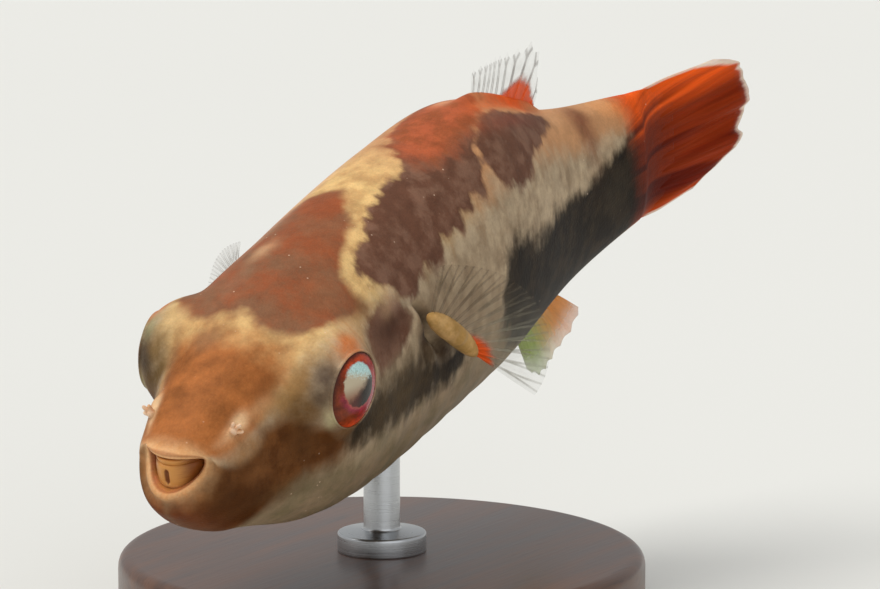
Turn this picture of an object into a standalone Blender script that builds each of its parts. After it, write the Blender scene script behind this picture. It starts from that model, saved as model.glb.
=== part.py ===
"""A male red-tailed dwarf pufferfish: a still, life-size model on a plain display stand.

The fish is drawn straight, in hundredths of its body length, with the lips near y = 0 and
the root of the tail fin at y = 100. It is then bent along its spine, scaled to its real
size and tilted by the pose empty. Its left side is +X, its back is +Z, and it faces -Y.
The world's origin is the middle of the stand's underside.
"""

import math

import bmesh
import bpy
from mathutils import Matrix, Vector

MM = 0.001

# Driving dimensions.
BODY_LENGTH = 42 * MM
UNIT = BODY_LENGTH / 100
GAP = 0.3 * MM
CUT = GAP / UNIT
FIN_THICKNESS = 0.55 * MM

# How the fish hangs in the water: nose down, banked and curled to its left.
DIVE = math.radians(13.4)
BANK = math.radians(6.4)
HEAD_TURN = math.radians(4.1)
TAIL_TURN = math.radians(13.1)
TAIL_LIFT = math.radians(1.6)
NECK_BEND = (28, 50)
TAIL_BEND = (55, 105)
SPINE_ANCHOR = 50
SPINE_START = -8
SPINE_STEP = 0.5
SPINE_STEPS = 280

# The stand, and the point of the fish that hangs over its middle.
BASE_RADIUS = 13 * MM
BASE_HEIGHT = 3.5 * MM
BASE_ROUNDING = 0.7 * MM
ROD_RADIUS = 0.9 * MM
FOOT_RADIUS = 2.2 * MM
FOOT_HEIGHT = 0.8 * MM
ROD_DEPTH_IN_BELLY = 1.8 * MM
BALANCE_POINT = (0.8, 47, 0)
BALANCE_HEIGHT = 15.2 * MM
BELLY_OVER_ROD = 8.9 * MM

# Body outline: place along the body, back, belly, half width.
STATIONS = (
    (4.5, 6.4, -8.3, 6.6),
    (10, 9.4, -10.2, 8.3),
    (20, 14.1, -13.9, 11.7),
    (35, 16.3, -16.2, 11.8),
    (55, 18.7, -15.2, 11.6),
    (68, 19.2, -14.6, 9.9),
    (85, 11.9, -11.0, 5.8),
    (100, 8.8, -8.5, 2.9),
)
SECTION_POWER = 2.25
RING_POINTS = 44
HEAD_END = 36.4
TRUNK_END = 84
TAIL_END = 100
HEAD_PITCH = 2
TRUNK_PITCH = 3.2
TAIL_PITCH = 3.2

# Lips and mouth, from the throat outwards. Each ring has its corner (half width, place,
# height), its upper middle and its lower middle (place, height).
MOUTH_RINGS = (
    ((1.4, 5.4, 1.1), (5.0, 1.9), (5.0, 0.3)),
    ((2.3, 4.6, 1.4), (3.6, 2.6), (3.6, -0.2)),
    ((2.8, 3.2, 1.7), (1.4, 2.95), (0.9, -0.5)),
    ((3.15, 2.0, 2.05), (-0.75, 3.1), (-1.2, -0.75)),
    ((3.75, 1.5, 2.0), (-1.1, 3.85), (-1.9, -1.4)),
    ((4.45, 1.8, 1.6), (0.15, 4.3), (-1.45, -2.5)),
    ((5.95, 3.1, 0.3), (2.0, 5.1), (0.3, -5.3)),
)

# Eyes: middle of the rim, the way they look, the eyeball's radius and the bulge of its
# front, and how far within the rim its middle lies; then the dome of skin round it.
EYE_PLACE = (12.5, 19.1, 5.1)
EYE_FORWARD = math.radians(6)
EYE_RADIUS = 4.35
EYE_BULGE = 2.9
EYE_SET_BACK = 1.5
ORBIT_SET_BACK = 5.2
ORBIT_RADIUS = 6.9
ORBIT_BLEND = 0.6
LID_RISE = 0.1
LID_REACH = 6.0

# Beak, nostrils and the fleshy roots of the pectoral fins, from front to rear.
BEAK_HALF_WIDTH = 1.5
BEAK_FRONT = -0.6
BEAK_BACK = 0.5
BEAK_THICKNESS = 0.35 * MM
UPPER_BEAK = (1.75, 2.5)
LOWER_BEAK = (0.3, 1.02)
NOSTRIL_PLACE = (4.5, 5.3, 4.2)
NOSTRIL_RADIUS = 0.3 * MM
NOSTRIL_HEIGHT = 0.6 * MM
NOSTRIL_TAPER = 0.7
NOSTRIL_STAND_OFF = 0.66 * MM
LOBE_FRONT = (12.5, 37.6, 6.3)
LOBE_REAR = (14.7, 45.0, -1.1)
LOBE_RADIUS = 1.3

# Fins. A pectoral fan has its upper ray's direction, the one a right angle round from it,
# how far it opens and the length of its rays. The left fin is spread, the right half shut.
DORSAL_ROOT = (69, 81.5)
DORSAL_TIPS = ((68.6, 22.9), (71.3, 23.2), (74.3, 22.7), (78.0, 22.0), (81.8, 21.7))
ANAL_ROOT = (75.5, 82.5)
ANAL_TIPS = ((78.6, -20.6), (80.6, -21.9), (84.0, -21.3), (87.2, -19.3), (88.8, -15.6))
TAIL_FIN_HEIGHT = 8.3
TAIL_FIN_LENGTH = 21.0
PECTORAL_RAYS = 12
PECTORAL_STEPS = 5
PECTORAL_FANS = {
    1: ((0.12, 0.06, 0.99), (0.75, 0.65, 0.1), math.radians(132), 8.0),
    -1: ((0.55, 0.75, 0.36), (0.78, -0.35, -0.5), math.radians(80), 6.8),
}

SKIN = (0.42, 0.24, 0.15)
PALE_SKIN = (0.46, 0.40, 0.33)
TAIL_RED = (0.50, 0.10, 0.03)
CLEAR_FIN = (0.55, 0.50, 0.42)
FLESH = (0.62, 0.44, 0.20)
IRIS_RED = (0.35, 0.03, 0.02)
BEAK_OCHRE = (0.62, 0.42, 0.20)
WALNUT = (0.10, 0.05, 0.03)
STEEL = (0.60, 0.60, 0.62)

# How many sides the round solids have.
LID_SIDES = 28
EYE_SIDES = 18
SOCKET_SIDES = 28
LOBE_SIDES = 16
POCKET_SIDES = 20
FLAP_SIDES = 10
BASE_SIDES = 48
ROD_SIDES = 24


# ------------------------------------------------------------------ scene and materials


def clear_scene():
    """Removes every object, so that the model is alone."""
    for old in list(bpy.data.objects):
        bpy.data.objects.remove(old)


def new_collection(name):
    """A collection linked to the scene."""
    collection = bpy.data.collections.new(name)
    bpy.context.scene.collection.children.link(collection)
    return collection


def finish_material(name, colour, roughness, metallic=0.0):
    """A Principled material in one colour."""
    material = bpy.data.materials.new(name)
    material.use_nodes = True
    shader = material.node_tree.nodes["Principled BSDF"]
    shader.inputs["Base Color"].default_value = (*colour, 1)
    shader.inputs["Roughness"].default_value = roughness
    shader.inputs["Metallic"].default_value = metallic
    return material


def add_object(name, mesh, collection, parent=None, finish=None):
    """A named object for a mesh, with its own material (colour, roughness, metallic)."""
    part = bpy.data.objects.new(name, mesh)
    collection.objects.link(part)
    part.parent = parent
    if finish:
        mesh.materials.append(finish_material(name, *finish))
    return part


def mesh_from(name, points, faces):
    """A mesh from points in metres, with its faces turned outwards."""
    mesh = bpy.data.meshes.new(name)
    mesh.from_pydata(points, [], faces)
    work = bmesh.new()
    work.from_mesh(mesh)
    bmesh.ops.recalc_face_normals(work, faces=work.faces)
    work.to_mesh(mesh)
    work.free()
    mesh.shade_smooth()
    mesh.set_sharp_from_angle(angle=math.radians(50))
    return mesh


def turned_mesh(name, profile, segments):
    """A closed turned solid about Z. The profile runs from the axis round to the axis."""
    mesh = bpy.data.meshes.new(name)
    edges = [(i, i + 1) for i in range(len(profile) - 1)]
    mesh.from_pydata([(radius, 0, height) for radius, height in profile], edges, [])
    guide = bpy.data.objects.new(name + "_profile", mesh)
    bpy.context.scene.collection.objects.link(guide)
    screw = guide.modifiers.new("turn", "SCREW")
    screw.steps = segments
    screw.render_steps = segments
    screw.use_merge_vertices = True
    screw.merge_threshold = 0.00001
    graph = bpy.context.evaluated_depsgraph_get()
    turned = bpy.data.meshes.new_from_object(guide.evaluated_get(graph))
    bpy.data.objects.remove(guide)
    work = bmesh.new()
    work.from_mesh(turned)
    bmesh.ops.remove_doubles(work, verts=work.verts, dist=0.00001)
    bmesh.ops.recalc_face_normals(work, faces=work.faces)
    work.to_mesh(turned)
    work.free()
    turned.shade_smooth()
    turned.set_sharp_from_angle(angle=math.radians(40))
    return turned


def combine(part, cutter, operation):
    """Joins one mesh object to another, or cuts it out of it."""
    cutter.hide_render = True
    cutter.display_type = "WIRE"
    boolean = part.modifiers.new(cutter.name, "BOOLEAN")
    boolean.operation = operation
    boolean.solver = "EXACT"
    boolean.object = cutter


# ------------------------------------------------------------------ the spine's bend


def ease(span, y):
    """A smooth step from 0 to 1 over a span of the body."""
    share = min(max((y - span[0]) / (span[1] - span[0]), 0.0), 1.0)
    return share * share * (3 - 2 * share)


def heading(y):
    """How far the body is turned to its left, and lifted, at a place along it."""
    turn = TAIL_TURN * ease(TAIL_BEND, y) - HEAD_TURN * (1 - ease(NECK_BEND, y))
    return turn, TAIL_LIFT * ease(TAIL_BEND, y)


def tangent(y):
    """The spine's direction, towards the tail."""
    turn, lift = heading(y)
    level = math.cos(lift)
    return Vector((math.sin(turn) * level, math.cos(turn) * level, math.sin(lift)))


def trace_spine():
    """Points of the bent spine, evenly spaced along the straight body."""
    points = [Vector((0, SPINE_START, 0))]
    for i in range(SPINE_STEPS):
        middle = SPINE_START + (i + 0.5) * SPINE_STEP
        points.append(points[-1] + tangent(middle) * SPINE_STEP)
    anchor = points[round((SPINE_ANCHOR - SPINE_START) / SPINE_STEP)]
    shift = Vector((0, SPINE_ANCHOR, 0)) - anchor
    return [point + shift for point in points]


SPINE = trace_spine()


def bent(x, y, z):
    """A point of the straight fish, bent along the spine, in metres."""
    place = (y - SPINE_START) / SPINE_STEP
    index = min(max(int(place), 0), SPINE_STEPS - 1)
    middle = SPINE[index].lerp(SPINE[index + 1], place - index)
    turn = heading(y)[0]
    side = Vector((math.cos(turn), -math.sin(turn), 0))
    up = side.cross(tangent(y))
    return (middle + side * x + up * z) * UNIT


# ------------------------------------------------------------------ the body's sections


def outline(y, column):
    """A smooth curve through the stations: column 1 is the back, 2 the belly, 3 the width."""
    last = len(STATIONS) - 2
    index = next((i for i in range(last) if y < STATIONS[i + 1][0]), last)
    near = STATIONS[max(index - 1, 0) : index + 3]
    start, end = STATIONS[index], STATIONS[index + 1]
    span = end[0] - start[0]

    def slope(before, after):
        return (after[column] - before[column]) / (after[0] - before[0])

    leaving = slope(near[0], end)
    arriving = slope(start, near[-1])
    t = (y - start[0]) / span
    return (
        (2 * t**3 - 3 * t**2 + 1) * start[column]
        + (t**3 - 2 * t**2 + t) * span * leaving
        + (3 * t**2 - 2 * t**3) * end[column]
        + (t**3 - t**2) * span * arriving
    )


def signed_power(value, power):
    return math.copysign(abs(value) ** power, value)


def swell_orbit(x, y, z):
    """Raises the skin round each eye to a dome, which runs out softly into the head."""
    middle = Vector(EYE_PLACE)
    middle.x -= ORBIT_SET_BACK * math.cos(EYE_FORWARD)
    middle.y += ORBIT_SET_BACK * math.sin(EYE_FORWARD)
    middle.x = math.copysign(middle.x, x)
    away = Vector((x, y, z)) - middle
    reach = away.length
    lift = ORBIT_BLEND * math.log1p(math.exp((ORBIT_RADIUS - reach) / ORBIT_BLEND))
    return middle + away * ((reach + lift) / reach)


def body_ring(y):
    """One section of the body, from its left side over the back and round the belly."""
    back, belly, half = (outline(y, column) for column in (1, 2, 3))
    middle, reach = (back + belly) / 2, (back - belly) / 2
    power = 2 / SECTION_POWER
    ring = []
    for i in range(RING_POINTS):
        angle = math.tau * i / RING_POINTS
        x = half * signed_power(math.cos(angle), power)
        z = middle + reach * signed_power(math.sin(angle), power)
        ring.append(bent(*swell_orbit(x, y, z)))
    return ring


def mouth_ring(corner, upper, lower):
    """One ring of the lips: its corners stand back from its two middles."""
    ring = []
    for i in range(RING_POINTS):
        angle = math.tau * i / RING_POINTS
        place, height = upper if math.sin(angle) > 0 else lower
        share = abs(math.sin(angle))
        x = corner[0] * math.cos(angle)
        y = corner[1] + (place - corner[1]) * share**1.5
        z = corner[2] + (height - corner[2]) * share
        ring.append(bent(x, y, z))
    return ring


def loft(name, rings):
    """A closed solid through rings of the same count, capped at both ends."""
    count = len(rings[0])
    points = [point for ring in rings for point in ring]
    faces = [tuple(range(count))[::-1]]
    for row in range(len(rings) - 1):
        for i in range(count):
            after = (i + 1) % count
            low, high = row * count, (row + 1) * count
            faces.append((low + i, low + after, high + after, high + i))
    faces.append(tuple(range(len(points) - count, len(points))))
    return mesh_from(name, points, faces)


def body_rings(start, end, pitch):
    """Sections from one place to another, about a pitch apart."""
    steps = round((end - start) / pitch)
    return [body_ring(start + (end - start) * i / steps) for i in range(steps + 1)]


# ------------------------------------------------------------------ ovals: eyes and lobes


def oval_mesh(name, front, back, across, segments):
    """A rounded solid about its X axis, with unlike reaches in front and behind, in metres."""
    mesh = bpy.data.meshes.new(name)
    work = bmesh.new()
    bmesh.ops.create_uvsphere(work, u_segments=segments, v_segments=segments // 2, radius=1)
    turn = Matrix.Rotation(math.pi / 2, 3, "Y")
    for vertex in work.verts:
        spot = turn @ vertex.co
        along = front if spot.x > 0 else back
        vertex.co = (spot.x * along, spot.y * across, spot.z * across)
    work.to_mesh(mesh)
    work.free()
    mesh.shade_smooth()
    return mesh


def aim_x(part, middle, direction):
    """Puts a part at a point of the fish, with its X axis along a direction."""
    part.location = middle
    part.rotation_mode = "QUATERNION"
    part.rotation_quaternion = direction.to_track_quat("X", "Z")


def eye_frame(side):
    """The middle of an eye's rim and the way it looks."""
    x, y, z = EYE_PLACE
    look = Vector((side * math.cos(EYE_FORWARD), -math.sin(EYE_FORWARD), 0))
    look = Matrix.Rotation(-heading(y)[0], 3, "Z") @ look
    return bent(side * x, y, z), look


def lid_profile():
    """Half section of the rim of skin: a cap of the orbit's dome, closed behind."""
    radius = ORBIT_RADIUS + LID_RISE
    profile = []
    for i in range(9):
        across = LID_REACH * i / 8
        profile.append((across * UNIT, (math.sqrt(radius**2 - across**2)) * UNIT))
    profile.append((LID_REACH * UNIT, 0))
    profile.append((0, 0))
    return profile


def add_eye(side, word, parts, cutters, pose, head):
    """An eyeball in its socket, with a round rim of skin."""
    rim, look = eye_frame(side)
    lid = add_object("lid_" + word, turned_mesh("lid_" + word, lid_profile(), LID_SIDES), cutters, pose)
    lid.location = rim - look * ORBIT_SET_BACK * UNIT
    lid.rotation_mode = "QUATERNION"
    lid.rotation_quaternion = look.to_track_quat("Z", "Y")
    combine(head, lid, "UNION")

    middle = rim - look * EYE_SET_BACK * UNIT
    bulge, radius = EYE_BULGE * UNIT, EYE_RADIUS * UNIT
    name = "eye_" + word
    eye = add_object(name, oval_mesh(name, bulge, radius, radius, EYE_SIDES), parts, pose, (IRIS_RED, 0.08))
    aim_x(eye, middle, look)
    name = "socket_" + word
    socket_mesh = oval_mesh(name, bulge + GAP, radius + GAP, radius + GAP, SOCKET_SIDES)
    socket = add_object(name, socket_mesh, cutters, pose)
    aim_x(socket, middle, look)
    combine(head, socket, "DIFFERENCE")


def add_lobe(side, word, parts, cutters, pose, trunk):
    """The fleshy root of a pectoral fin, half sunk in the flank."""
    front = bent(side * LOBE_FRONT[0], *LOBE_FRONT[1:])
    rear = bent(side * LOBE_REAR[0], *LOBE_REAR[1:])
    along = (rear - front).length / 2
    across = LOBE_RADIUS * UNIT
    name = "pectoral_base_" + word
    lobe = add_object(name, oval_mesh(name, along, along, across, LOBE_SIDES), parts, pose, (FLESH, 0.4))
    aim_x(lobe, (front + rear) / 2, rear - front)
    name = "flank_pocket_" + word
    pocket_mesh = oval_mesh(name, along + GAP, along + GAP, across + GAP, POCKET_SIDES)
    pocket = add_object(name, pocket_mesh, cutters, pose)
    aim_x(pocket, (front + rear) / 2, rear - front)
    combine(trunk, pocket, "DIFFERENCE")


def add_nostril(side, word, parts, pose):
    """A short skin flap beside the nose."""
    name = "nostril_flap_" + word
    mesh = bpy.data.meshes.new(name)
    work = bmesh.new()
    bmesh.ops.create_cone(
        work,
        cap_ends=True,
        segments=FLAP_SIDES,
        radius1=NOSTRIL_RADIUS,
        radius2=NOSTRIL_RADIUS * NOSTRIL_TAPER,
        depth=NOSTRIL_HEIGHT,
    )
    work.to_mesh(mesh)
    work.free()
    x, y, z = NOSTRIL_PLACE
    out = Vector((side * 0.75, -0.1, 0.65)).normalized()
    flap = add_object(name, mesh, parts, pose, (SKIN, 0.4))
    flap.location = bent(side * x, y, z) + out * (NOSTRIL_HEIGHT / 2 + NOSTRIL_STAND_OFF)
    flap.rotation_mode = "QUATERNION"
    flap.rotation_quaternion = out.to_track_quat("Z", "Y")


# ------------------------------------------------------------------ plates and fins


def add_plate(name, rows, thickness, parts, pose, finish):
    """A thin solid over an open grid of points, made with Solidify."""
    width = len(rows[0])
    points = [point for row in rows for point in row]
    faces = []
    for r in range(len(rows) - 1):
        for c in range(width - 1):
            low = r * width + c
            faces.append((low, low + 1, low + width + 1, low + width))
    plate = add_object(name, mesh_from(name, points, faces), parts, pose, finish)
    shell = plate.modifiers.new("thickness", "SOLIDIFY")
    shell.thickness = thickness
    shell.offset = 0
    return plate


def between(values, share):
    """A value along a row of evenly spaced ones, at a share from 0 to 1."""
    place = min(max(share, 0.0), 1.0) * (len(values) - 1)
    index = min(int(place), len(values) - 2)
    return values[index] + (values[index + 1] - values[index]) * (place - index)


def smoothly(values, share):
    """The same value, with the row's corners rounded off."""
    return sum(between(values, share + shift) for shift in (-0.08, 0, 0.08)) / 3


def add_beak(name, heights, parts, pose):
    """A curved tooth plate behind one lip."""
    rows = []
    for i in range(11):
        sweep = i / 5 - 1
        x = BEAK_HALF_WIDTH * sweep
        y = BEAK_FRONT + (BEAK_BACK - BEAK_FRONT) * sweep**2
        rows.append([bent(x, y, heights[0]), bent(x, y, heights[1])])
    add_plate(name, rows, BEAK_THICKNESS, parts, pose, (BEAK_OCHRE, 0.3))


def add_midline_fin(name, root, tips, column, parts, pose):
    """The dorsal or the anal fin: rays from the body's midline out to a row of tips."""
    away = CUT if column == 1 else -CUT
    rows = []
    for i in range(10):
        share = i / 9
        y = root[0] + (root[1] - root[0]) * share
        z = outline(y, column) + away
        tip_y = smoothly([tip[0] for tip in tips], share)
        tip_z = smoothly([tip[1] for tip in tips], share)
        row = []
        for step in range(6):
            out = step / 5
            sway = 0.5 * math.sin(2.5 * math.pi * share) * out
            row.append(bent(sway, y + (tip_y - y) * out, z + (tip_z - z) * out))
        rows.append(row)
    add_plate(name, rows, FIN_THICKNESS, parts, pose, (CLEAR_FIN, 0.35))


def tail_fin_reach(v):
    """Length of the tail fin's rays, from its lower edge (-1) to its upper (1)."""
    if v > 0:
        return TAIL_FIN_LENGTH * (1 - 0.3 * v**5)
    notch = 1.6 * math.exp(-(((v + 0.34) / 0.09) ** 2))
    return TAIL_FIN_LENGTH * (1 - 0.48 * abs(v) ** 2.6) - notch


def add_tail_fin(parts, pose):
    """The tail fin, half closed, so that it is about as deep as the tail's root."""
    rows = []
    for i in range(19):
        v = i / 9 - 1
        row = []
        for step in range(9):
            out = step / 8
            y = TAIL_END + CUT + tail_fin_reach(v) * out
            height = TAIL_FIN_HEIGHT * (0.96 + 0.06 * math.sin(math.pi * out))
            ripple = 0.5 * math.sin(9 * v) * out
            row.append(bent(ripple, y, height * v))
        rows.append(row)
    add_plate("caudal_fin", rows, FIN_THICKNESS, parts, pose, (TAIL_RED, 0.4))


def pectoral_ray(side, share):
    """Root, direction and length of one ray, from the uppermost (0) to the lowest (1)."""
    front = Vector(LOBE_FRONT)
    rear = Vector(LOBE_REAR)
    root = front.lerp(rear, 0.06 + 0.9 * share)
    upper, outer, spread, longest = PECTORAL_FANS[side]
    aim = Vector(upper) * math.cos(spread * share) + Vector(outer) * math.sin(spread * share)
    aim.normalize()
    root += aim * (LOBE_RADIUS + CUT)
    length = longest * (0.5 + 0.5 * math.sin(math.pi * (0.05 + 0.72 * share)))
    return Vector((side * root.x, root.y, root.z)), Vector((side * aim.x, aim.y, aim.z)), length


def add_pectoral(side, word, parts, pose):
    """A pectoral fin, fanned out from the side of its fleshy root."""
    rows = []
    for i in range(PECTORAL_RAYS):
        share = i / (PECTORAL_RAYS - 1)
        root, aim, length = pectoral_ray(side, share)
        row = []
        for step in range(PECTORAL_STEPS + 1):
            out = step / PECTORAL_STEPS
            spot = root + aim * length * out
            sway = 0.35 * math.sin(7 * share) * out
            row.append(bent(spot.x + side * sway, spot.y - 0.8 * sway, spot.z))
        rows.append(row)
    name = "pectoral_fin_" + word
    add_plate(name, rows, FIN_THICKNESS, parts, pose, (CLEAR_FIN, 0.35))


# ------------------------------------------------------------------ body and stand


def add_body(parts, pose):
    """Head, trunk and tail, parted by two thin cuts."""
    head_rings = [mouth_ring(*ring) for ring in MOUTH_RINGS]
    head_rings += body_rings(STATIONS[0][0] + 1, HEAD_END, HEAD_PITCH)
    head = add_object("head", loft("head", head_rings), parts, pose, (SKIN, 0.4))
    rings = body_rings(HEAD_END + CUT, TRUNK_END, TRUNK_PITCH)
    trunk = add_object("trunk", loft("trunk", rings), parts, pose, (SKIN, 0.4))
    rings = body_rings(TRUNK_END + CUT, TAIL_END, TAIL_PITCH)
    add_object("tail", loft("tail", rings), parts, pose, (PALE_SKIN, 0.4))
    return head, trunk


def add_stand(parts, cutters, trunk):
    """A turned base and a turned rod with a foot, which runs up into the belly."""
    edge = BASE_RADIUS - BASE_ROUNDING
    corner = []
    for i in range(5):
        angle = math.pi / 2 * (1 - i / 4)
        height = BASE_HEIGHT - BASE_ROUNDING + BASE_ROUNDING * math.sin(angle)
        corner.append((edge + BASE_ROUNDING * math.cos(angle), height))
    profile = [(0, BASE_HEIGHT), *corner, (BASE_RADIUS, 0), (0, 0)]
    mesh = turned_mesh("stand_base", profile, BASE_SIDES)
    add_object("stand_base", mesh, parts, finish=(WALNUT, 0.45))

    low = BASE_HEIGHT + GAP
    top = BELLY_OVER_ROD + ROD_DEPTH_IN_BELLY
    bevel = 0.2 * MM
    profile = [
        (0, top),
        (ROD_RADIUS - bevel, top),
        (ROD_RADIUS, top - bevel),
        (ROD_RADIUS, low + FOOT_HEIGHT),
        (FOOT_RADIUS - bevel, low + FOOT_HEIGHT),
        (FOOT_RADIUS, low + FOOT_HEIGHT - bevel),
        (FOOT_RADIUS, low),
        (0, low),
    ]
    mesh = turned_mesh("stand_rod", profile, ROD_SIDES)
    add_object("stand_rod", mesh, parts, finish=(STEEL, 0.25, 1.0))

    radius = ROD_RADIUS + GAP
    profile = [(0, top + GAP), (radius, top + GAP), (radius, BASE_HEIGHT), (0, BASE_HEIGHT)]
    bore = add_object("rod_bore", turned_mesh("rod_bore", profile, ROD_SIDES), cutters)
    combine(trunk, bore, "DIFFERENCE")


def make_pose():
    """The empty that dives and banks the fish over the stand."""
    pose = bpy.data.objects.new("pose", None)
    bpy.context.scene.collection.objects.link(pose)
    pose.rotation_mode = "YXZ"
    pose.rotation_euler = (DIVE, BANK, 0)
    turn = Matrix.Rotation(DIVE, 3, "X") @ Matrix.Rotation(BANK, 3, "Y")
    pose.location = Vector((0, 0, BALANCE_HEIGHT)) - turn @ bent(*BALANCE_POINT)
    return pose


def main():
    clear_scene()
    parts = new_collection("dwarf_pufferfish")
    cutters = new_collection("cutters")
    pose = make_pose()
    head, trunk = add_body(parts, pose)
    for side, word in ((1, "left"), (-1, "right")):
        add_eye(side, word, parts, cutters, pose, head)
        add_nostril(side, word, parts, pose)
        add_lobe(side, word, parts, cutters, pose, trunk)
        add_pectoral(side, word, parts, pose)
    add_beak("beak_upper", UPPER_BEAK, parts, pose)
    add_beak("beak_lower", LOWER_BEAK, parts, pose)
    add_midline_fin("dorsal_fin", DORSAL_ROOT, DORSAL_TIPS, 1, parts, pose)
    add_midline_fin("anal_fin", ANAL_ROOT, ANAL_TIPS, 2, parts, pose)
    add_tail_fin(parts, pose)
    add_stand(parts, cutters, trunk)
    bpy.context.view_layer.update()


main()
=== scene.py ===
"""Finished surfaces of a male red-tailed dwarf pufferfish on a display stand.

Run as a script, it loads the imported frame, makes each piece and lights it. The fish is
drawn straight, in hundredths of its body length, with the lips near y = 0, the root of the
tail fin at y = 100, its left side at +X and its back at +Z. It is then bent along its
spine, scaled and tilted, as the frame's solids are. A spot on the skin is given by its
place y and its turn a in degrees: 0 on the back, 90 on the left side, -90 on the right.
"""

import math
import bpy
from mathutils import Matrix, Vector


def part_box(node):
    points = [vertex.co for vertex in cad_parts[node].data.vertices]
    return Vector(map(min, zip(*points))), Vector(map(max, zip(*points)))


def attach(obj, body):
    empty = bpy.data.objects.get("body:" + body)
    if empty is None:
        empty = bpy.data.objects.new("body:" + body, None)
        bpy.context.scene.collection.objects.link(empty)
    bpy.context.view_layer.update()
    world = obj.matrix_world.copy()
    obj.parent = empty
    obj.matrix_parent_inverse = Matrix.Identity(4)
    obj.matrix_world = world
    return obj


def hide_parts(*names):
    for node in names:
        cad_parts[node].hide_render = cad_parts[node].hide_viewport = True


bl_info = {
    "name": "Dwarf Pufferfish Finish",
    "version": (1, 0, 0),
    "blender": (4, 5, 0),
    "location": "3D View > Sidebar > Pufferfish",
    "description": "Makes the skin, eyes, beak, fins, stand and studio of a dwarf pufferfish",
    "category": "Object",
}

from functools import partialmethod

import bmesh
import bpy
import numpy as np
from bpy.props import FloatProperty, FloatVectorProperty, PointerProperty
from mathutils import Matrix, Vector, kdtree

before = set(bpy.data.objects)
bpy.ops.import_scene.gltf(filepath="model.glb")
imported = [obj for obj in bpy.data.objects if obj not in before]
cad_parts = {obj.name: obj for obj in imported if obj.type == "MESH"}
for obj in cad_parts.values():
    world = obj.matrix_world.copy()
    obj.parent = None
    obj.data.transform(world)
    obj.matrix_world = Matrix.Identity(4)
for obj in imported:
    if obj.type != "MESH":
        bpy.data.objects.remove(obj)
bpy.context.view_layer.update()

# A millimetre and a hundredth of the body length in metres, and the gap that is left
# between two solids, in hundredths.
MM = 0.001
UNIT = 0.42 * MM
GAP = 0.3 * MM / UNIT

# The fish's stance: nose down, banked, curled to its left, hung over the stand's middle.
# The bends run between two places on the spine, which is drawn as a chain of short steps.
DIVE = math.radians(13.4)
BANK = math.radians(6.4)
HEAD_TURN = math.radians(4.1)
TAIL_TURN = math.radians(13.1)
TAIL_LIFT = math.radians(1.6)
NECK_BEND = (28, 50)
TAIL_BEND = (55, 105)
SPINE_ANCHOR = 50
SPINE_START = -8
SPINE_STEP = 0.5
SPINE_STEPS = 280
BALANCE_POINT = (0.8, 47, 0)
BALANCE_HEIGHT = 15.2 * MM

# Body outline: place along the body, back, belly, half width. The tuck is the part of the
# skin that narrows over the root of the tail fin.
BACK, BELLY, WIDTH = 1, 2, 3
STATIONS = np.array(
    (
        (4.5, 6.4, -8.3, 6.6),
        (10, 9.4, -10.2, 8.3),
        (20, 14.1, -13.9, 11.7),
        (35, 16.3, -16.2, 11.8),
        (55, 18.7, -15.2, 11.6),
        (68, 19.2, -14.6, 9.9),
        (85, 11.9, -11.0, 5.8),
        (100, 8.8, -8.5, 2.9),
    )
)
SECTION_POWER = 2.25
TAIL_ROOT = 100
TAIL_TUCK = 8.0
TAIL_END = TAIL_ROOT + TAIL_TUCK

# The skin's rings: points in each, the steps between two rings of the mouth, the first
# rings of the body, and the pitch of the others from place to place.
COLUMNS = 340
MOUTH_STEPS = 5
FIRST_RINGS = (5.5, 7.0, 8.5)
RING_SPANS = ((8.5, 28, 0.24), (28, 48, 0.36), (48, 97, 0.58), (97, TAIL_END, 0.35))

# The slit of the gill cover: its place, its slant and the turn of its upper end.
GILL_PLACE = 37.2
GILL_SLANT = 3.4 / 22
GILL_TOP = 68

# Small folds and hollows on both sides: height, place, reach, turn, spread.
FOLDS = (
    (-0.9, 39.2, 1.7, 83, 7),
    (0.35, 7.0, 1.0, 50, 7),
    (-0.22, 8.7, 0.9, 58, 16),
    (-0.2, 4.6, 0.7, 100, 34),
)

# Lips and mouth, from the throat outwards: the ring's place on the skin, its corner (half
# width, place, height), its upper middle and its lower middle (place, height), and how
# straight its upper side is, from 1 for a plain oval down to 0.
MOUTH_RINGS = (
    (-5.0, (0.5, 5.7, 1.0), (5.7, 1.3), (5.7, 0.7), 1.0),
    (-4.0, (1.4, 5.4, 1.1), (5.0, 1.9), (5.0, 0.3), 1.0),
    (-2.0, (2.3, 4.6, 1.4), (3.6, 2.6), (3.6, -0.2), 0.8),
    (-0.6, (2.8, 3.2, 1.7), (1.4, 2.95), (0.9, -0.5), 0.6),
    (0.2, (3.0, 2.5, 1.9), (0.1, 2.95), (-0.4, -0.6), 0.5),
    (0.8, (3.15, 2.0, 2.05), (-0.75, 3.1), (-1.2, -0.75), 0.45),
    (1.3, (3.45, 1.6, 2.1), (-1.15, 3.4), (-1.75, -0.95), 0.45),
    (1.8, (3.75, 1.5, 2.0), (-1.1, 3.85), (-1.9, -1.4), 0.5),
    (2.3, (4.05, 1.75, 1.8), (-0.45, 4.15), (-1.55, -1.85), 0.6),
    (2.8, (4.45, 1.8, 1.6), (0.15, 4.3), (-1.45, -2.5), 0.75),
    (3.4, (5.05, 2.1, 1.1), (0.8, 4.65), (-1.3, -3.5), 0.9),
    (4.4, (5.95, 3.1, 0.3), (2.0, 5.1), (0.3, -5.3), 1.0),
)
LIP_PLACE = 3.0
MOUTH_PLACE = 0.9
THROAT_PLACE = -0.6

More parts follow.
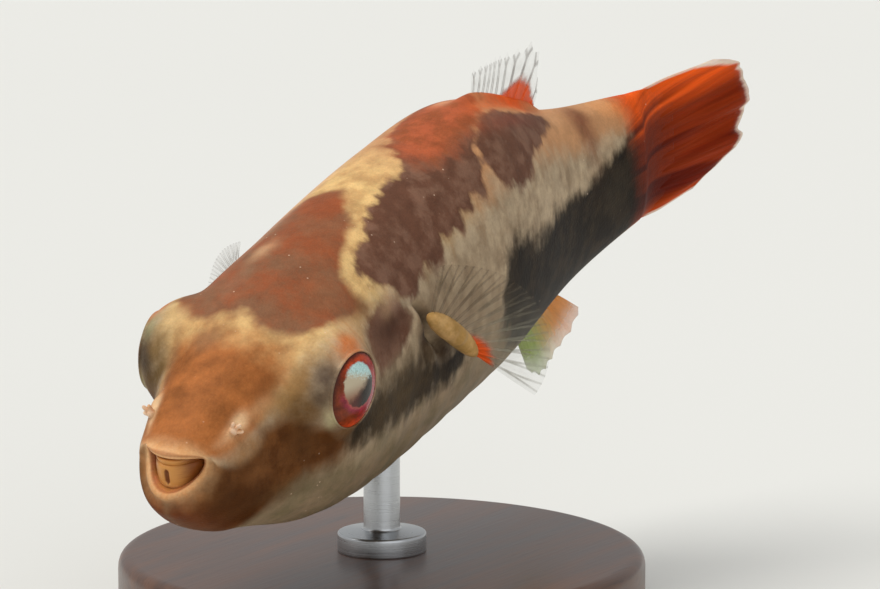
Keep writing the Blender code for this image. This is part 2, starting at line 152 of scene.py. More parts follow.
# Eyes: middle of the rim, the way they look, the dome of skin round them, the eyeball, the
# socket's (radius, depth) profile and the lid.
EYE_PLACE = np.array((12.5, 19.1, 5.1))
EYE_FORWARD = math.radians(6)
ORBIT_SET_BACK = 5.2
ORBIT_RADIUS = 6.9
ORBIT_BLEND = 0.6
EYE_RIM = 4.4
EYE_RIM_DEPTH = 5.32
EYE_FRONT = 6.85
EYE_DEPTH = 3.4
SOCKET = ((0.01, 3.2), (EYE_RIM - 0.5, 3.3), (EYE_RIM, 4.2), (EYE_RIM, 9), (0.01, 9))
LID_TUBE = 0.14
LID_STEPS = 20
SOCKET_SEGMENTS, LID_SEGMENTS, EYE_SEGMENTS = 96, 120, 112

# The fleshy roots of the pectoral fins, from front to rear, and the nostril flaps.
LOBE_FRONT = np.array((12.5, 37.6, 6.3))
LOBE_REAR = np.array((14.7, 45.0, -1.1))
LOBE_RADIUS = 1.3
NOSTRIL_PLACE = np.array((4.5, 5.3, 4.2))
NOSTRIL_AIM = np.array((0.75, -0.1, 0.65))

# Beak plates: half width, front, back, and each plate's lower and upper edge.
BEAK_HALF_WIDTH = 2.65
BEAK_FRONT = -0.75
BEAK_BACK = 2.5
BEAK_THICKNESS = 0.75
UPPER_BEAK = (2.37, 3.0)
LOWER_BEAK = (-0.65, 2.34)
SLIT_DEPTH = 0.85
BEAK_GRID = (120, 30)

# Fins: the roots and tips of their rays. Each _RAYS says how many rays there are, how wide
# and how high they are and where they fork; each _GRID, the points across and along.
DORSAL_ROOT = (69, 70.6, 72.2, 74.0, 76.0, 78.0, 81.5)
DORSAL_TIPS = (
    (68.6, 22.9), (70.7, 23.3), (73.0, 23.0), (75.6, 22.5), (78.8, 22.0), (83.4, 22.4),
    (81.4, 14.6),
)
ANAL_ROOT = (75.5, 82.5)
ANAL_TIPS = ((78.6, -20.6), (80.6, -21.9), (84.0, -21.3), (87.2, -19.3), (88.8, -15.6))
TAIL_FIN_HEIGHT = 8.3
TAIL_FIN_LENGTH = 21.0
TAIL_FOLDS = 4.5
PECTORAL_FANS = {
    1: ((0.12, 0.06, 0.99), (0.75, 0.65, 0.1), math.radians(132), 8.0),
    -1: ((0.55, 0.75, 0.36), (0.78, -0.35, -0.5), math.radians(80), 6.8),
}
ROOT_SINK = 0.9
TAIL_RAYS, TAIL_GRID = (9, 0.5, 0.3, 0.4), (300, 80)
DORSAL_RAYS, DORSAL_GRID = (11, 0.22, 0.16, 0.75), (260, 40)
ANAL_RAYS, ANAL_GRID = (7, 0.3, 0.2, 0.5), (200, 40)
PECTORAL_RAYS, PECTORAL_GRID = (13, 0.24, 0.32, 0.4), (300, 44)

# Where the camera stands: its bearing, height angle, distance, lens and what it looks at.
CAMERA_BEARING = math.radians(32.095)
CAMERA_RISE = math.radians(10)
CAMERA_DISTANCE = 253.73 * MM
CAMERA_LENS = 211.1
CAMERA_TARGET = Vector((1.736, 2.627, 16.063)) * MM
FLOOR_HALF_SIZE = 4.0

# Outlines of the markings, as (place, turn) round each patch. EYE_PATCH and those after it
# are given on the left side and serve on the right as well.
SNOUT = (
    (-9, -85), (3, -66), (8, -54), (11, -48), (13.6, -38), (14.8, -26), (15.0, -14),
    (14.5, 0), (14.4, 20), (14.7, 34), (14.4, 44), (12.5, 50), (9.6, 56), (6.0, 60),
    (3, 68), (-9, 88),
)
SADDLE = (
    (16.0, -15), (16.9, 0), (16.2, 12), (16.2, 25), (16.8, 36), (17.2, 41), (18.8, 45),
    (20.6, 45.5), (22.8, 47), (25.5, 50), (28.3, 47), (28.3, 38), (28.6, 30), (33, 22),
    (36.8, 15), (39, 8), (40.6, 2), (42.4, -6), (42, -14), (41.4, -24), (38, -38),
    (33, -48), (28, -54), (24, -49), (19.6, -50), (17.4, -40), (16.2, -28),
)
MIDDLE = (
    (57, -15), (54, -6), (51.5, 2), (50, 11), (48, 12), (45, 10), (42, 13), (39, 18),
    (36, 25), (32, 28), (31, 34), (31.5, 42), (33.5, 50), (36, 60), (38, 66), (40, 61),
    (42, 55), (43.5, 63), (46, 61), (47, 51), (49, 54), (51, 59), (52, 49), (54, 54),
    (55, 46), (57, 52), (59, 42), (60.4, 30), (62, 24), (63, 18), (66, 12), (69, 4),
    (69, -10), (66, -18), (61, -20),
)
MIDDLE_RIGHT = (
    (43, -50), (47, -43), (52, -41), (56, -36), (60, -38), (62, -44), (60, -52), (57, -49),
    (56, -60), (53, -54), (50, -64), (47, -56), (44, -64), (41, -58),
)
RUST = (
    (57, -15), (54, -6), (52, 3), (52, 12), (53.5, 20), (57, 23), (60, 19), (64, 22),
    (68, 14), (69, 2), (69, -10), (66, -18), (61, -20),
)
EYE_PATCH = (
    (26, 60), (27.5, 55), (31, 55), (34.5, 61), (36.8, 69), (35.8, 77), (32, 80),
    (27.5, 80), (25.5, 71),
)
UNDER_EYE = (
    (18.6, 93), (19.6, 87), (21.4, 84), (26, 84), (30, 86), (35, 85), (39, 88), (42, 92),
    (43.5, 100), (42, 106), (38, 105), (33, 104), (28, 102), (23, 101), (20, 99),
)
# Painted shadow under the root of the pectoral fin, laid in the shade colour.
UNDER_FIN_SHADOW = ((41.5, 93), (46, 92), (48.5, 98), (48, 105), (44, 108), (41, 104))
UNDER_DORSAL = (
    (60.7, 28), (60.0, 38), (60.4, 48), (62.6, 57), (66, 64), (69, 61), (71, 53), (74, 47),
    (77.5, 39), (80.5, 28), (81, 16), (78, 14), (74, 19), (70, 16), (66, 15), (63, 24),
)
REAR_FLANK = (
    (57, 90), (59, 82), (61, 79), (64, 80), (67, 86), (70, 86), (74, 83), (80, 79),
    (84, 79), (88, 75), (92, 70), (97, 57), (98.5, 45), (106, 45), (106, 152), (80, 152),
    (68, 140), (61, 122), (57, 104),
)
CHEEK = (
    (-9, 88), (3, 76), (6, 70), (8.5, 65), (12, 66), (15, 75), (18, 83), (19.8, 90),
    (20.6, 98), (18, 103), (13.5, 108), (9.5, 120), (7, 140), (4.6, 178), (-9, 178),
)

# Turns where the side begins and ends, the place of the tail's red, the hundredths that one
# degree of turn is worth, a depth well outside a patch, and how often seams are smoothed.
BACK_EDGE, BELLY_EDGE = 52, 106
TAIL_RED_PLACE = 97.6
TURN_SCALE = 0.22
FAR_OUTSIDE = -9.0
SMOOTHING_ROUNDS = 8


def tone(red, green, blue):
    """A colour for a shader, from the 0 to 255 values that a painter's swatch shows."""
    shares = (value / 255 for value in (red, green, blue))
    return tuple(s / 12.92 if s < 0.04045 else ((s + 0.055) / 1.055) ** 2.4 for s in shares)


# Soft tints over the patches: place, turn, their reach along and round the body, colour and
# strength. Later ones lie over earlier ones.
BOTH_SIDES = (
    (6.3, 45, 1.5, 7, (234, 198, 154), 0.9),
    (9.4, 49, 2.0, 6, (192, 146, 102), 0.8),
    (5.8, 68, 1.7, 9, (158, 112, 68), 0.75),
    (6.4, 87, 1.8, 10, (122, 78, 42), 0.55),
    (12.6, 58, 3.0, 9, (148, 110, 64), 0.85),
    (14.0, 68, 2.0, 9, (100, 68, 28), 0.95),
    (11.4, 40, 2.4, 9, (128, 76, 38), 0.7),
    (14.8, 40, 1.6, 6, (172, 128, 82), 0.55),
    (15.3, 54, 1.2, 6, (150, 112, 68), 0.8),
    # The next two are painted shadow of the lid along the eye's front upper rim.
    (16.9, 60.5, 1.1, 5.5, (82, 64, 54), 0.95),
    (16.1, 65.5, 0.8, 4.5, (90, 72, 56), 0.85),
    (16.4, 76, 0.6, 5, (182, 174, 132), 0.65),
    (19.7, 57.5, 1.3, 4.5, (200, 104, 42), 0.95),
    (3.4, 150, 1.2, 42, (136, 88, 42), 0.6),
    (23.0, 56, 2.4, 7, (198, 142, 94), 0.8),
    (18.6, 86, 1.8, 5, (108, 76, 44), 0.7),
    (31.0, 66, 4.5, 9, (66, 40, 28), 0.75),
    (4.5, 122, 3.4, 32, (54, 26, 6), 0.6),
    (7.4, 110, 2.4, 12, (62, 34, 12), 0.5),
    (24.6, 70, 1.8, 12, (136, 104, 76), 0.75),
    (13.0, 86, 3.0, 12, (72, 42, 14), 0.6),
    (14.0, 112, 5.0, 9, (98, 86, 60), 0.5),
    (27.0, 108, 4.0, 5, (138, 124, 96), 0.55),
    (1.5, 165, 4.0, 30, (92, 26, 10), 0.7),
    (35.9, 80, 0.8, 8, (168, 148, 120), 0.75),
    # The next two are painted shadow in the hollow under the pectoral fin's root.
    (38.7, 80, 1.7, 9, (46, 26, 16), 0.95),
    (43.0, 92, 3.0, 5, (50, 32, 20), 0.85),
    (31.0, 83, 5.0, 5, (128, 108, 82), 0.6),
    (30.5, 94, 9.0, 10, (80, 62, 38), 0.8),
    (33.6, 56, 1.3, 7, (160, 126, 104), 0.5),
    (96.8, 64, 1.4, 14, (106, 72, 50), 0.5),
    (96.2, 24, 1.9, 16, (226, 134, 72), 0.75),
    (92.0, 93, 4.5, 16, (54, 44, 30), 0.6),
    (27.9, 49, 1.5, 7, (122, 80, 50), 0.8),
    (31.7, 57, 1.4, 5, (176, 140, 106), 0.55),
    (24.0, 56, 1.6, 6, (214, 176, 128), 0.5),
)
ONE_SIDE = (
    (13.6, -62, 4.0, 16, (92, 70, 38), 0.9),
    (13.4, -14, 1.6, 11, (150, 112, 78), 0.6),
    (12.5, -42, 3.0, 7, (128, 90, 58), 0.6),
    (17.2, -44, 1.3, 8, (208, 174, 122), 0.65),
    (15.4, -55, 1.5, 6, (126, 100, 64), 0.8),
    (17.8, -58, 0.9, 4, (148, 146, 108), 0.7),
    (16.2, -65, 1.6, 5, (70, 58, 46), 0.85),
    (28.8, -15, 2.6, 6, (204, 162, 122), 0.6),
    (22.0, -14, 3.0, 6, (146, 110, 84), 0.5),
    (39.0, -7, 3.5, 10, (150, 78, 46), 0.6),
    (33.0, 8, 5.0, 12, (146, 80, 48), 0.45),
    (24.0, 32, 3.5, 14, (146, 98, 68), 0.6),
    (66.6, -9, 2.2, 6, (214, 150, 112), 0.85),
    (70.0, 9, 4.5, 6, (206, 92, 34), 0.7),
    (76.0, 0, 5.5, 11, (226, 84, 16), 0.95),
    (70.0, 26, 6.0, 6, (130, 68, 50), 0.6),
    (83.0, 17, 1.2, 14, (204, 152, 108), 0.7),
    (88.2, 28, 2.1, 34, (120, 74, 52), 0.95),
    (94.0, 12, 2.0, 20, (214, 146, 92), 0.7),
    # Painted sheen: a pale band along the far edge of the back, high on the right side.
    (46.0, -34, 14.0, 9, (208, 168, 138), 0.75),
)


# ------------------------------------------------------------------ settings


def swatch(name, description, red, green, blue):
    """A colour that the sidebar shows."""
    return FloatVectorProperty(
        name=name, description=description, default=tone(red, green, blue), subtype="COLOR",
        min=0, max=1,
    )


class PufferSkinSettings(bpy.types.PropertyGroup):
    """Colours of the skin and how deep its fine relief is."""

    cream: swatch("Cream", "Bands on the back", 222, 184, 124)
    cream_dark: swatch("Cream shade", "Clouds in the cream", 198, 158, 104)
    tan: swatch("Tan", "The back between the rear patches", 190, 140, 98)
    flank: swatch("Flank", "Streaky side", 181, 159, 130)
    flank_dark: swatch("Flank shade", "Streaks on the side", 146, 124, 98)
    # The belly is painted darker than its own pale grey-beige: painted shade of the underside,
    # which faces away from the light.
    belly: swatch("Belly", "Underside", 122, 107, 80)
    snout: swatch("Snout", "Orange-brown snout", 172, 104, 54)
    snout_dark: swatch("Snout shade", "Browner clouds on it", 132, 78, 38)
    saddle: swatch("Saddle", "Patch on the nape", 130, 90, 64)
    saddle_rust: swatch("Saddle rust", "Rusty clouds on it", 146, 78, 46)
    middle: swatch("Middle", "Patch on the back", 102, 68, 52)
    middle_pale: swatch("Middle clouds", "Paler clouds on it", 124, 90, 72)
    rust: swatch("Rust", "Rust-red back", 176, 90, 56)
    cheek: swatch("Cheek", "Brown cheek and chin", 84, 46, 14)
    cheek_pale: swatch("Cheek clouds", "Paler clouds on it", 106, 64, 30)
    # This colour also paints the shadow under the pectoral fin's root.
    shade: swatch("Shade", "Dark patches low on the side", 24, 15, 4)
    shade_pale: swatch("Shade clouds", "Paler clouds on them", 46, 34, 20)
    lip: swatch("Lips", "Rolled lips", 234, 188, 138)
    lip_side: swatch("Lip clouds", "Browner clouds on them", 206, 146, 92)
    lip_edge: swatch("Lip edge", "Inner edge of the lips", 204, 124, 82)
    mouth: swatch("Mouth", "Inside of the mouth", 176, 118, 60)
    # The throat's dark brown is painted shade deep in the mouth.
    throat: swatch("Throat", "Depth of the mouth", 96, 50, 14)
    flap: swatch("Nostril flaps", "Pale flaps over the nostrils", 224, 194, 166)
    lobe: swatch("Fin root", "Fleshy root of the side fins", 168, 130, 74)
    tail_orange: swatch("Tail orange", "Upper part of the tail fin and its root", 208, 80, 20)
    tail_red: swatch("Tail red", "Red-brown lower part of them", 116, 38, 8)
    tail_dark: swatch("Tail shade", "Maroon streaks in it", 84, 20, 4)
    pore_depth: FloatProperty(
        name="Pore depth", description="Depth of the finest relief", default=0.02 * MM,
        min=0, max=1 * MM, subtype="DISTANCE", unit="LENGTH",
    )


class PufferFinSettings(bpy.types.PropertyGroup):
    """Colours and thickness of the fins."""

    tail_edge: swatch("Tail edge", "Pale rim of the tail fin", 236, 214, 196)
    clear: swatch("Clear", "Grey rays of the clear fins", 150, 146, 128)
    ray_brown: swatch("Brown rays", "Brown rays of the clear fins", 86, 68, 48)
    ember: swatch("Ember", "Orange roots of the clear fins", 232, 88, 18)
    moss: swatch("Anal fin", "Yellow-green of the anal fin", 138, 158, 36)
    moss_orange: swatch("Anal fin glow", "Orange rear of it", 216, 132, 6)
    membrane: FloatProperty(
        name="Membrane", description="Thickness of the membranes", default=0.06 * MM,
        min=0.01 * MM, max=1 * MM, subtype="DISTANCE", unit="LENGTH",
    )


class PufferEyeSettings(bpy.types.PropertyGroup):
    """Colours of the eyes and the beak."""

    iris: swatch("Iris", "Crimson of the iris", 154, 34, 36)
    iris_side: swatch("Iris front", "Browner front of the iris", 116, 48, 22)
    pupil: swatch("Pupil", "Depth of the pupil", 40, 34, 28)
    # The gleam is a painted reflection of the light on the eye.
    gleam_reflection: swatch("Gleam", "Turquoise sheen over the pupil", 204, 230, 226)
    beak: swatch("Beak", "Tooth plates", 200, 138, 70)
    # The plates' darker sides are painted shade.
    beak_side: swatch("Beak sides", "Shaded sides of the plates", 124, 68, 24)


class PufferStageSettings(bpy.types.PropertyGroup):
    """The stand's finish, the floor and the light."""

    walnut: swatch("Walnut", "Stained wood of the base", 96, 60, 38)
    floor: swatch("Floor", "Pale studio floor", 226, 226, 222)
    key_power: FloatProperty(
        name="Key light", description="Strength of the main soft light", default=2.1, min=0
    )
    fill_power: FloatProperty(
        name="Fill light", description="Strength of the side light", default=0.4, min=0
    )


# ------------------------------------------------------------------ stance


def ease(span, y):
    """A smooth step from 0 to 1 over a span."""
    share = np.clip((y - span[0]) / (span[1] - span[0]), 0, 1)
    return share * share * (3 - 2 * share)


def hill(value, middle, reach):
    """A bell curve that is 1 at its middle."""
    return np.exp(-(((value - middle) / reach) ** 2))


def unit(vectors):
    """Vectors of length 1."""
    length = np.linalg.norm(vectors, axis=-1, keepdims=True)
    return vectors / np.maximum(length, 1e-12)


def heading(y):
    """How far the body is turned to its left, and lifted, at places along it."""
    turn = TAIL_TURN * ease(TAIL_BEND, y) - HEAD_TURN * (1 - ease(NECK_BEND, y))
    return turn, TAIL_LIFT * ease(TAIL_BEND, y)


def tangent(y):
    """The spine's direction, towards the tail."""
    turn, lift = heading(y)
    level = np.cos(lift)
    return np.stack((np.sin(turn) * level, np.cos(turn) * level, np.sin(lift)), axis=-1)


def trace_spine():
    """Points of the bent spine, evenly spaced along the straight body."""
    middles = SPINE_START + (np.arange(SPINE_STEPS) + 0.5) * SPINE_STEP
    points = np.vstack((np.zeros(3), np.cumsum(tangent(middles) * SPINE_STEP, axis=0)))
    anchor = round((SPINE_ANCHOR - SPINE_START) / SPINE_STEP)
    return points - points[anchor] + np.array((0, SPINE_ANCHOR, 0))


SPINE = trace_spine()


def bend(points):
    """Straight points bent along the spine, in metres."""
    points = np.asarray(points, float)
    y = points[..., 1]
    place = (y - SPINE_START) / SPINE_STEP
    index = np.clip(place.astype(int), 0, SPINE_STEPS - 1)
    middle = SPINE[index] + (SPINE[index + 1] - SPINE[index]) * (place - index)[..., None]
    turn = heading(y)[0]
    side = np.stack((np.cos(turn), -np.sin(turn), np.zeros_like(turn)), axis=-1)
    up = np.cross(side, tangent(y))
    return (middle + side * points[..., :1] + up * points[..., 2:]) * UNIT


POSE = np.array(Matrix.Rotation(DIVE, 3, "X") @ Matrix.Rotation(BANK, 3, "Y"))


def place_in_frame(points):
    """Straight points at their place in the frame, in metres."""
    home = np.array((0, 0, BALANCE_HEIGHT)) - POSE @ bend(BALANCE_POINT)
    return bend(points) @ POSE.T + home


# ------------------------------------------------------------------ the body's form


def curve(t, span, first, second, leaving, arriving):
    """A smooth curve from a first to a second value, with its slope at either end."""
    return (
        (2 * t**3 - 3 * t**2 + 1) * first
        + (t**3 - 2 * t**2 + t) * span * leaving
        + (3 * t**2 - 2 * t**3) * second
        + (t**3 - t**2) * span * arriving
    )


def outline(y, column):
    """A smooth curve through the stations' back, belly or width."""
    places, values = STATIONS[:, 0], STATIONS[:, column]
    last = len(places) - 1
    index = np.clip(np.searchsorted(places, y, side="right") - 1, 0, last - 1)
    before, after = np.maximum(index - 1, 0), np.minimum(index + 2, last)
    span = places[index + 1] - places[index]
    leaving = (values[index + 1] - values[before]) / (places[index + 1] - places[before])
    arriving = (values[after] - values[index]) / (places[after] - places[index])
    t = (y - places[index]) / span
    return curve(t, span, values[index], values[index + 1], leaving, arriving)


def signed_power(value, power):
    """A power of a value's size, with the value's own sign."""
    return np.sign(value) * np.abs(value) ** power


def eye_aim(side):
    """The way that one eye looks."""
    return np.array((side * math.cos(EYE_FORWARD), -math.sin(EYE_FORWARD), 0))


def orbit_middle(side):
    """Middle of the dome of skin round one eye."""
    return (EYE_PLACE - ORBIT_SET_BACK * eye_aim(1)) * (side, 1, 1)


def swell_orbits(points):
    """Raises the skin round each eye to a dome, which runs out softly into the head."""
    side = np.where(points[..., :1] < 0, -1.0, 1.0)
    middle = orbit_middle(1) * np.concatenate((side, np.ones_like(side), np.ones_like(side)), -1)
    away = points - middle
    reach = np.linalg.norm(away, axis=-1, keepdims=True)
    lift = ORBIT_BLEND * np.logaddexp(0, (ORBIT_RADIUS - reach) / ORBIT_BLEND)
    return middle + away * ((reach + lift) / reach)


def column_angles():
    """The turn of each column of the skin, in degrees, from the belly round the right side."""
    return np.arange(COLUMNS) * 360 / COLUMNS - 180


def body_rings(places):
    """Sections of the body at the places, as an array of rings."""
    y = np.asarray(places, float)[:, None]
    angle = np.radians(90 - column_angles())[None, :]
    inner = np.minimum(y, TAIL_ROOT)
    tuck = np.clip((y - TAIL_ROOT) / TAIL_TUCK, 0, 1)
    narrow = 1 - 0.97 * (1 - (1 - tuck) ** 2.8)
    back, belly, half = (outline(inner, column) for column in (BACK, BELLY, WIDTH))
    middle, reach = (back + belly) / 2, (back - belly) / 2 * (1 - 0.25 * tuck**2)
    power = 2 / SECTION_POWER
    x = half * narrow * signed_power(np.cos(angle), power)
    z = middle + reach * signed_power(np.sin(angle), power)
    return swell_orbits(np.stack((x, y + 0 * x, z), axis=-1))


def mouth_rings():
    """The rings of the lips and throat, as an array of rings."""
    angle = np.radians(90 - column_angles())
    share = np.abs(np.sin(angle))
    rings = []
    over = np.sin(angle) > 0
    for _, corner, upper, lower, straightness in MOUTH_RINGS:
        place = np.where(over, upper[0], lower[0])
        height = np.where(over, upper[1], lower[1])
        x = corner[0] * np.cos(angle)
        y = corner[1] + (place - corner[1]) * share**1.5
        z = corner[2] + (height - corner[2]) * share ** np.where(over, straightness, 1)
        rings.append(np.stack((x, y, z), axis=-1))
    return np.array(rings)


def spline_rings(rings, places, steps):
    """Rings between the given ones, on a smooth curve through them."""
    lengths = np.linalg.norm(np.diff(rings, axis=0), axis=-1).mean(1)
    knots = np.concatenate(([0], np.cumsum(lengths)))
    slopes = np.gradient(rings, knots, axis=0)
    result, result_places = [], []
    for i in range(len(rings) - 1):
        span = knots[i + 1] - knots[i]
        for t in np.arange(steps) / steps:
            result.append(curve(t, span, rings[i], rings[i + 1], slopes[i], slopes[i + 1]))
            result_places.append(places[i] + (places[i + 1] - places[i]) * t)
    return np.array(result), np.array(result_places)


def grid_normals(rings):
    """Outward directions of a closed grid of rings."""
    along = np.gradient(rings, axis=0)
    around = np.roll(rings, -1, axis=1) - np.roll(rings, 1, axis=1)
    return unit(np.cross(around, along))


def relief(y, a):
    """How far the skin is raised at each spot, in hundredths of the body length."""
    side = np.abs(a)
    slit = y - GILL_PLACE - GILL_SLANT * (side - GILL_TOP)
    gill = ease((62, 70), side) * (1 - ease((88, 95), side))
    height = gill * (0.5 * hill(slit, -0.7, 0.8) - 1.1 * hill(slit, 0.9, 0.75))
    for rise, place, reach, turn, spread in FOLDS:
        height += rise * hill(y, place, reach) * hill(side, turn, spread)

    # The ridges under the dorsal and the anal fin, the line round the lips, a soft ripple.
    dorsal = ease((64, 70), y) * (1 - ease((80, 84), y))
    anal = ease((73, 77), y) * (1 - ease((82, 86), y))
    height += 1.0 * hill(side, 0, 4) * dorsal + 0.8 * hill(side, 180, 5) * anal
    height -= 0.16 * hill(y, 2.75, 0.3) * ease((60, 85), side)
    height += 0.12 * hill(y, 3.3, 0.35) * ease((60, 90), side)
    ripple = np.sin(y * 1.1 + side * 0.09)
    return height + 0.06 * ripple * hill(y, 40, 26) * hill(side, 125, 40)


def skin_grid():
    """Rings of the whole skin, with the place and the turn of each point."""
    keys = np.concatenate((mouth_rings(), body_rings(FIRST_RINGS)))
    key_places = np.array([ring[0] for ring in MOUTH_RINGS] + list(FIRST_RINGS))
    front, front_places = spline_rings(keys, key_places, MOUTH_STEPS)
    places = np.concatenate([np.arange(*span) for span in RING_SPANS] + [[TAIL_END]])
    rings = np.concatenate((front, body_rings(places)))
    y = np.concatenate((front_places, places))[:, None] + np.zeros(COLUMNS)
    a = column_angles()[None, :] + np.zeros(len(rings))[:, None]
    rings = rings + grid_normals(rings) * relief(y, a)[..., None]
    return rings, y, a


# ------------------------------------------------------------------ meshes


def new_mesh(name, points, faces):
    """A mesh with faces turned outwards."""
    mesh = bpy.data.meshes.new(name)
    mesh.from_pydata(points, [], faces)
    work = bmesh.new()
    work.from_mesh(mesh)
    bmesh.ops.recalc_face_normals(work, faces=work.faces)
    work.to_mesh(mesh)
    work.free()
    return mesh


def loose_object(name, points, faces):
    """An object that is not a piece of the fish, such as one to be joined to the skin."""
    thing = bpy.data.objects.new(name, new_mesh(name, points, faces))
    bpy.context.scene.collection.objects.link(thing)
    return thing


def mesh_points(mesh):
    """Places of a mesh's points as an array."""
    points = np.empty(len(mesh.vertices) * 3, np.float32)
    mesh.vertices.foreach_get("co", points)
    return points.reshape(-1, 3).astype(float)


def set_points(mesh, points):
    """Moves a mesh's points."""
    mesh.vertices.foreach_set("co", np.asarray(points, np.float32).ravel())
    mesh.update()


def store(mesh, name, values):
    """Keeps a number, a vector or a colour at each point of a mesh, for its material."""
    values = np.asarray(values, np.float32)
    kinds = {1: ("FLOAT", "value"), 3: ("FLOAT_VECTOR", "vector"), 4: ("FLOAT_COLOR", "color")}
    kind, key = kinds[values.shape[1] if values.ndim > 1 else 1]
    layer = mesh.attributes.new(name, kind, "POINT")
    layer.data.foreach_set(key, values.ravel())


def grid_faces(rows, columns, closed, first=0, turned=False):
    """Four-sided faces over a grid of points; a closed one joins its last column to its first."""
    faces = []
    for row in range(rows - 1):
        low = first + row * columns
        for i in range(columns if closed else columns - 1):
            after = (i + 1) % columns
            face = (low + i, low + after, low + columns + after, low + columns + i)
            faces.append(face[::-1] if turned else face)
    return faces


def loft_object(name, rings):
    """A closed loose object through rings of the same count."""
    rows, columns = rings.shape[:2]
    faces = [tuple(range(columns))[::-1]]
    faces += grid_faces(rows, columns, closed=True)
    faces.append(tuple(range((rows - 1) * columns, rows * columns)))
    return loose_object(name, rings.reshape(-1, 3), faces)


def turned_rings(profile, segments, middle, axis, toward):
    """Rings about an axis, from (radius, height) pairs; the first column lies toward a side."""
    axis = unit(np.asarray(axis, float))
    first = unit(np.asarray(toward, float) - axis * np.dot(toward, axis))
    second = np.cross(axis, first)
    angle = np.arange(segments) * math.tau / segments
    circle = np.cos(angle)[:, None] * first + np.sin(angle)[:, None] * second
    return np.array([middle + axis * height + circle * radius for radius, height in profile])


def torus_mesh(rings):
    """Points and faces of a ring-shaped tube, from its rings about the axis."""
    rows, columns = rings.shape[:2]
    faces = grid_faces(rows, columns, closed=True)
    low = (rows - 1) * columns
    for i in range(columns):
        after = (i + 1) % columns
        faces.append((low + i, low + after, after, i))
    return rings.reshape(-1, 3), faces


def rounded_loft(name, centres, radii, segments=28):
    """A closed tube with round ends along centres, with a radius at each."""
    centres, radii = np.asarray(centres, float), np.asarray(radii, float)
    along = unit(np.gradient(centres, axis=0))
    toward = unit(np.cross(along, (0.3, 0.2, 0.93)))
    across = np.cross(along, toward)
    angle = np.arange(segments) * math.tau / segments
    cosine, sine = np.cos(angle)[None, :, None], np.sin(angle)[None, :, None]
    circle = toward[:, None] * cosine + across[:, None] * sine
    return loft_object(name, centres[:, None] + circle * radii[:, None, None])


def finish_piece(piece, *nodes, slot, material):
    """Gives a piece its material and ties it to the frame."""
    piece.data.materials.clear()
    piece.data.materials.append(material)
    piece.data.shade_smooth()
    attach(piece, "root")
    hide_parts(*nodes)


def combine(target, tool, operation):
    """Joins a closed object to another, or cuts it out, and removes the tool."""
    change = target.modifiers.new(tool.name, "BOOLEAN")
    change.operation = operation
    change.solver = "MANIFOLD"
    change.object = tool
    graph = bpy.context.evaluated_depsgraph_get()
    joined = bpy.data.meshes.new_from_object(target.evaluated_get(graph))
    target.modifiers.remove(change)
    old = target.data
    target.data = joined
    bpy.data.meshes.remove(old)
    bpy.data.objects.remove(tool)


# ------------------------------------------------------------------ shader helpers


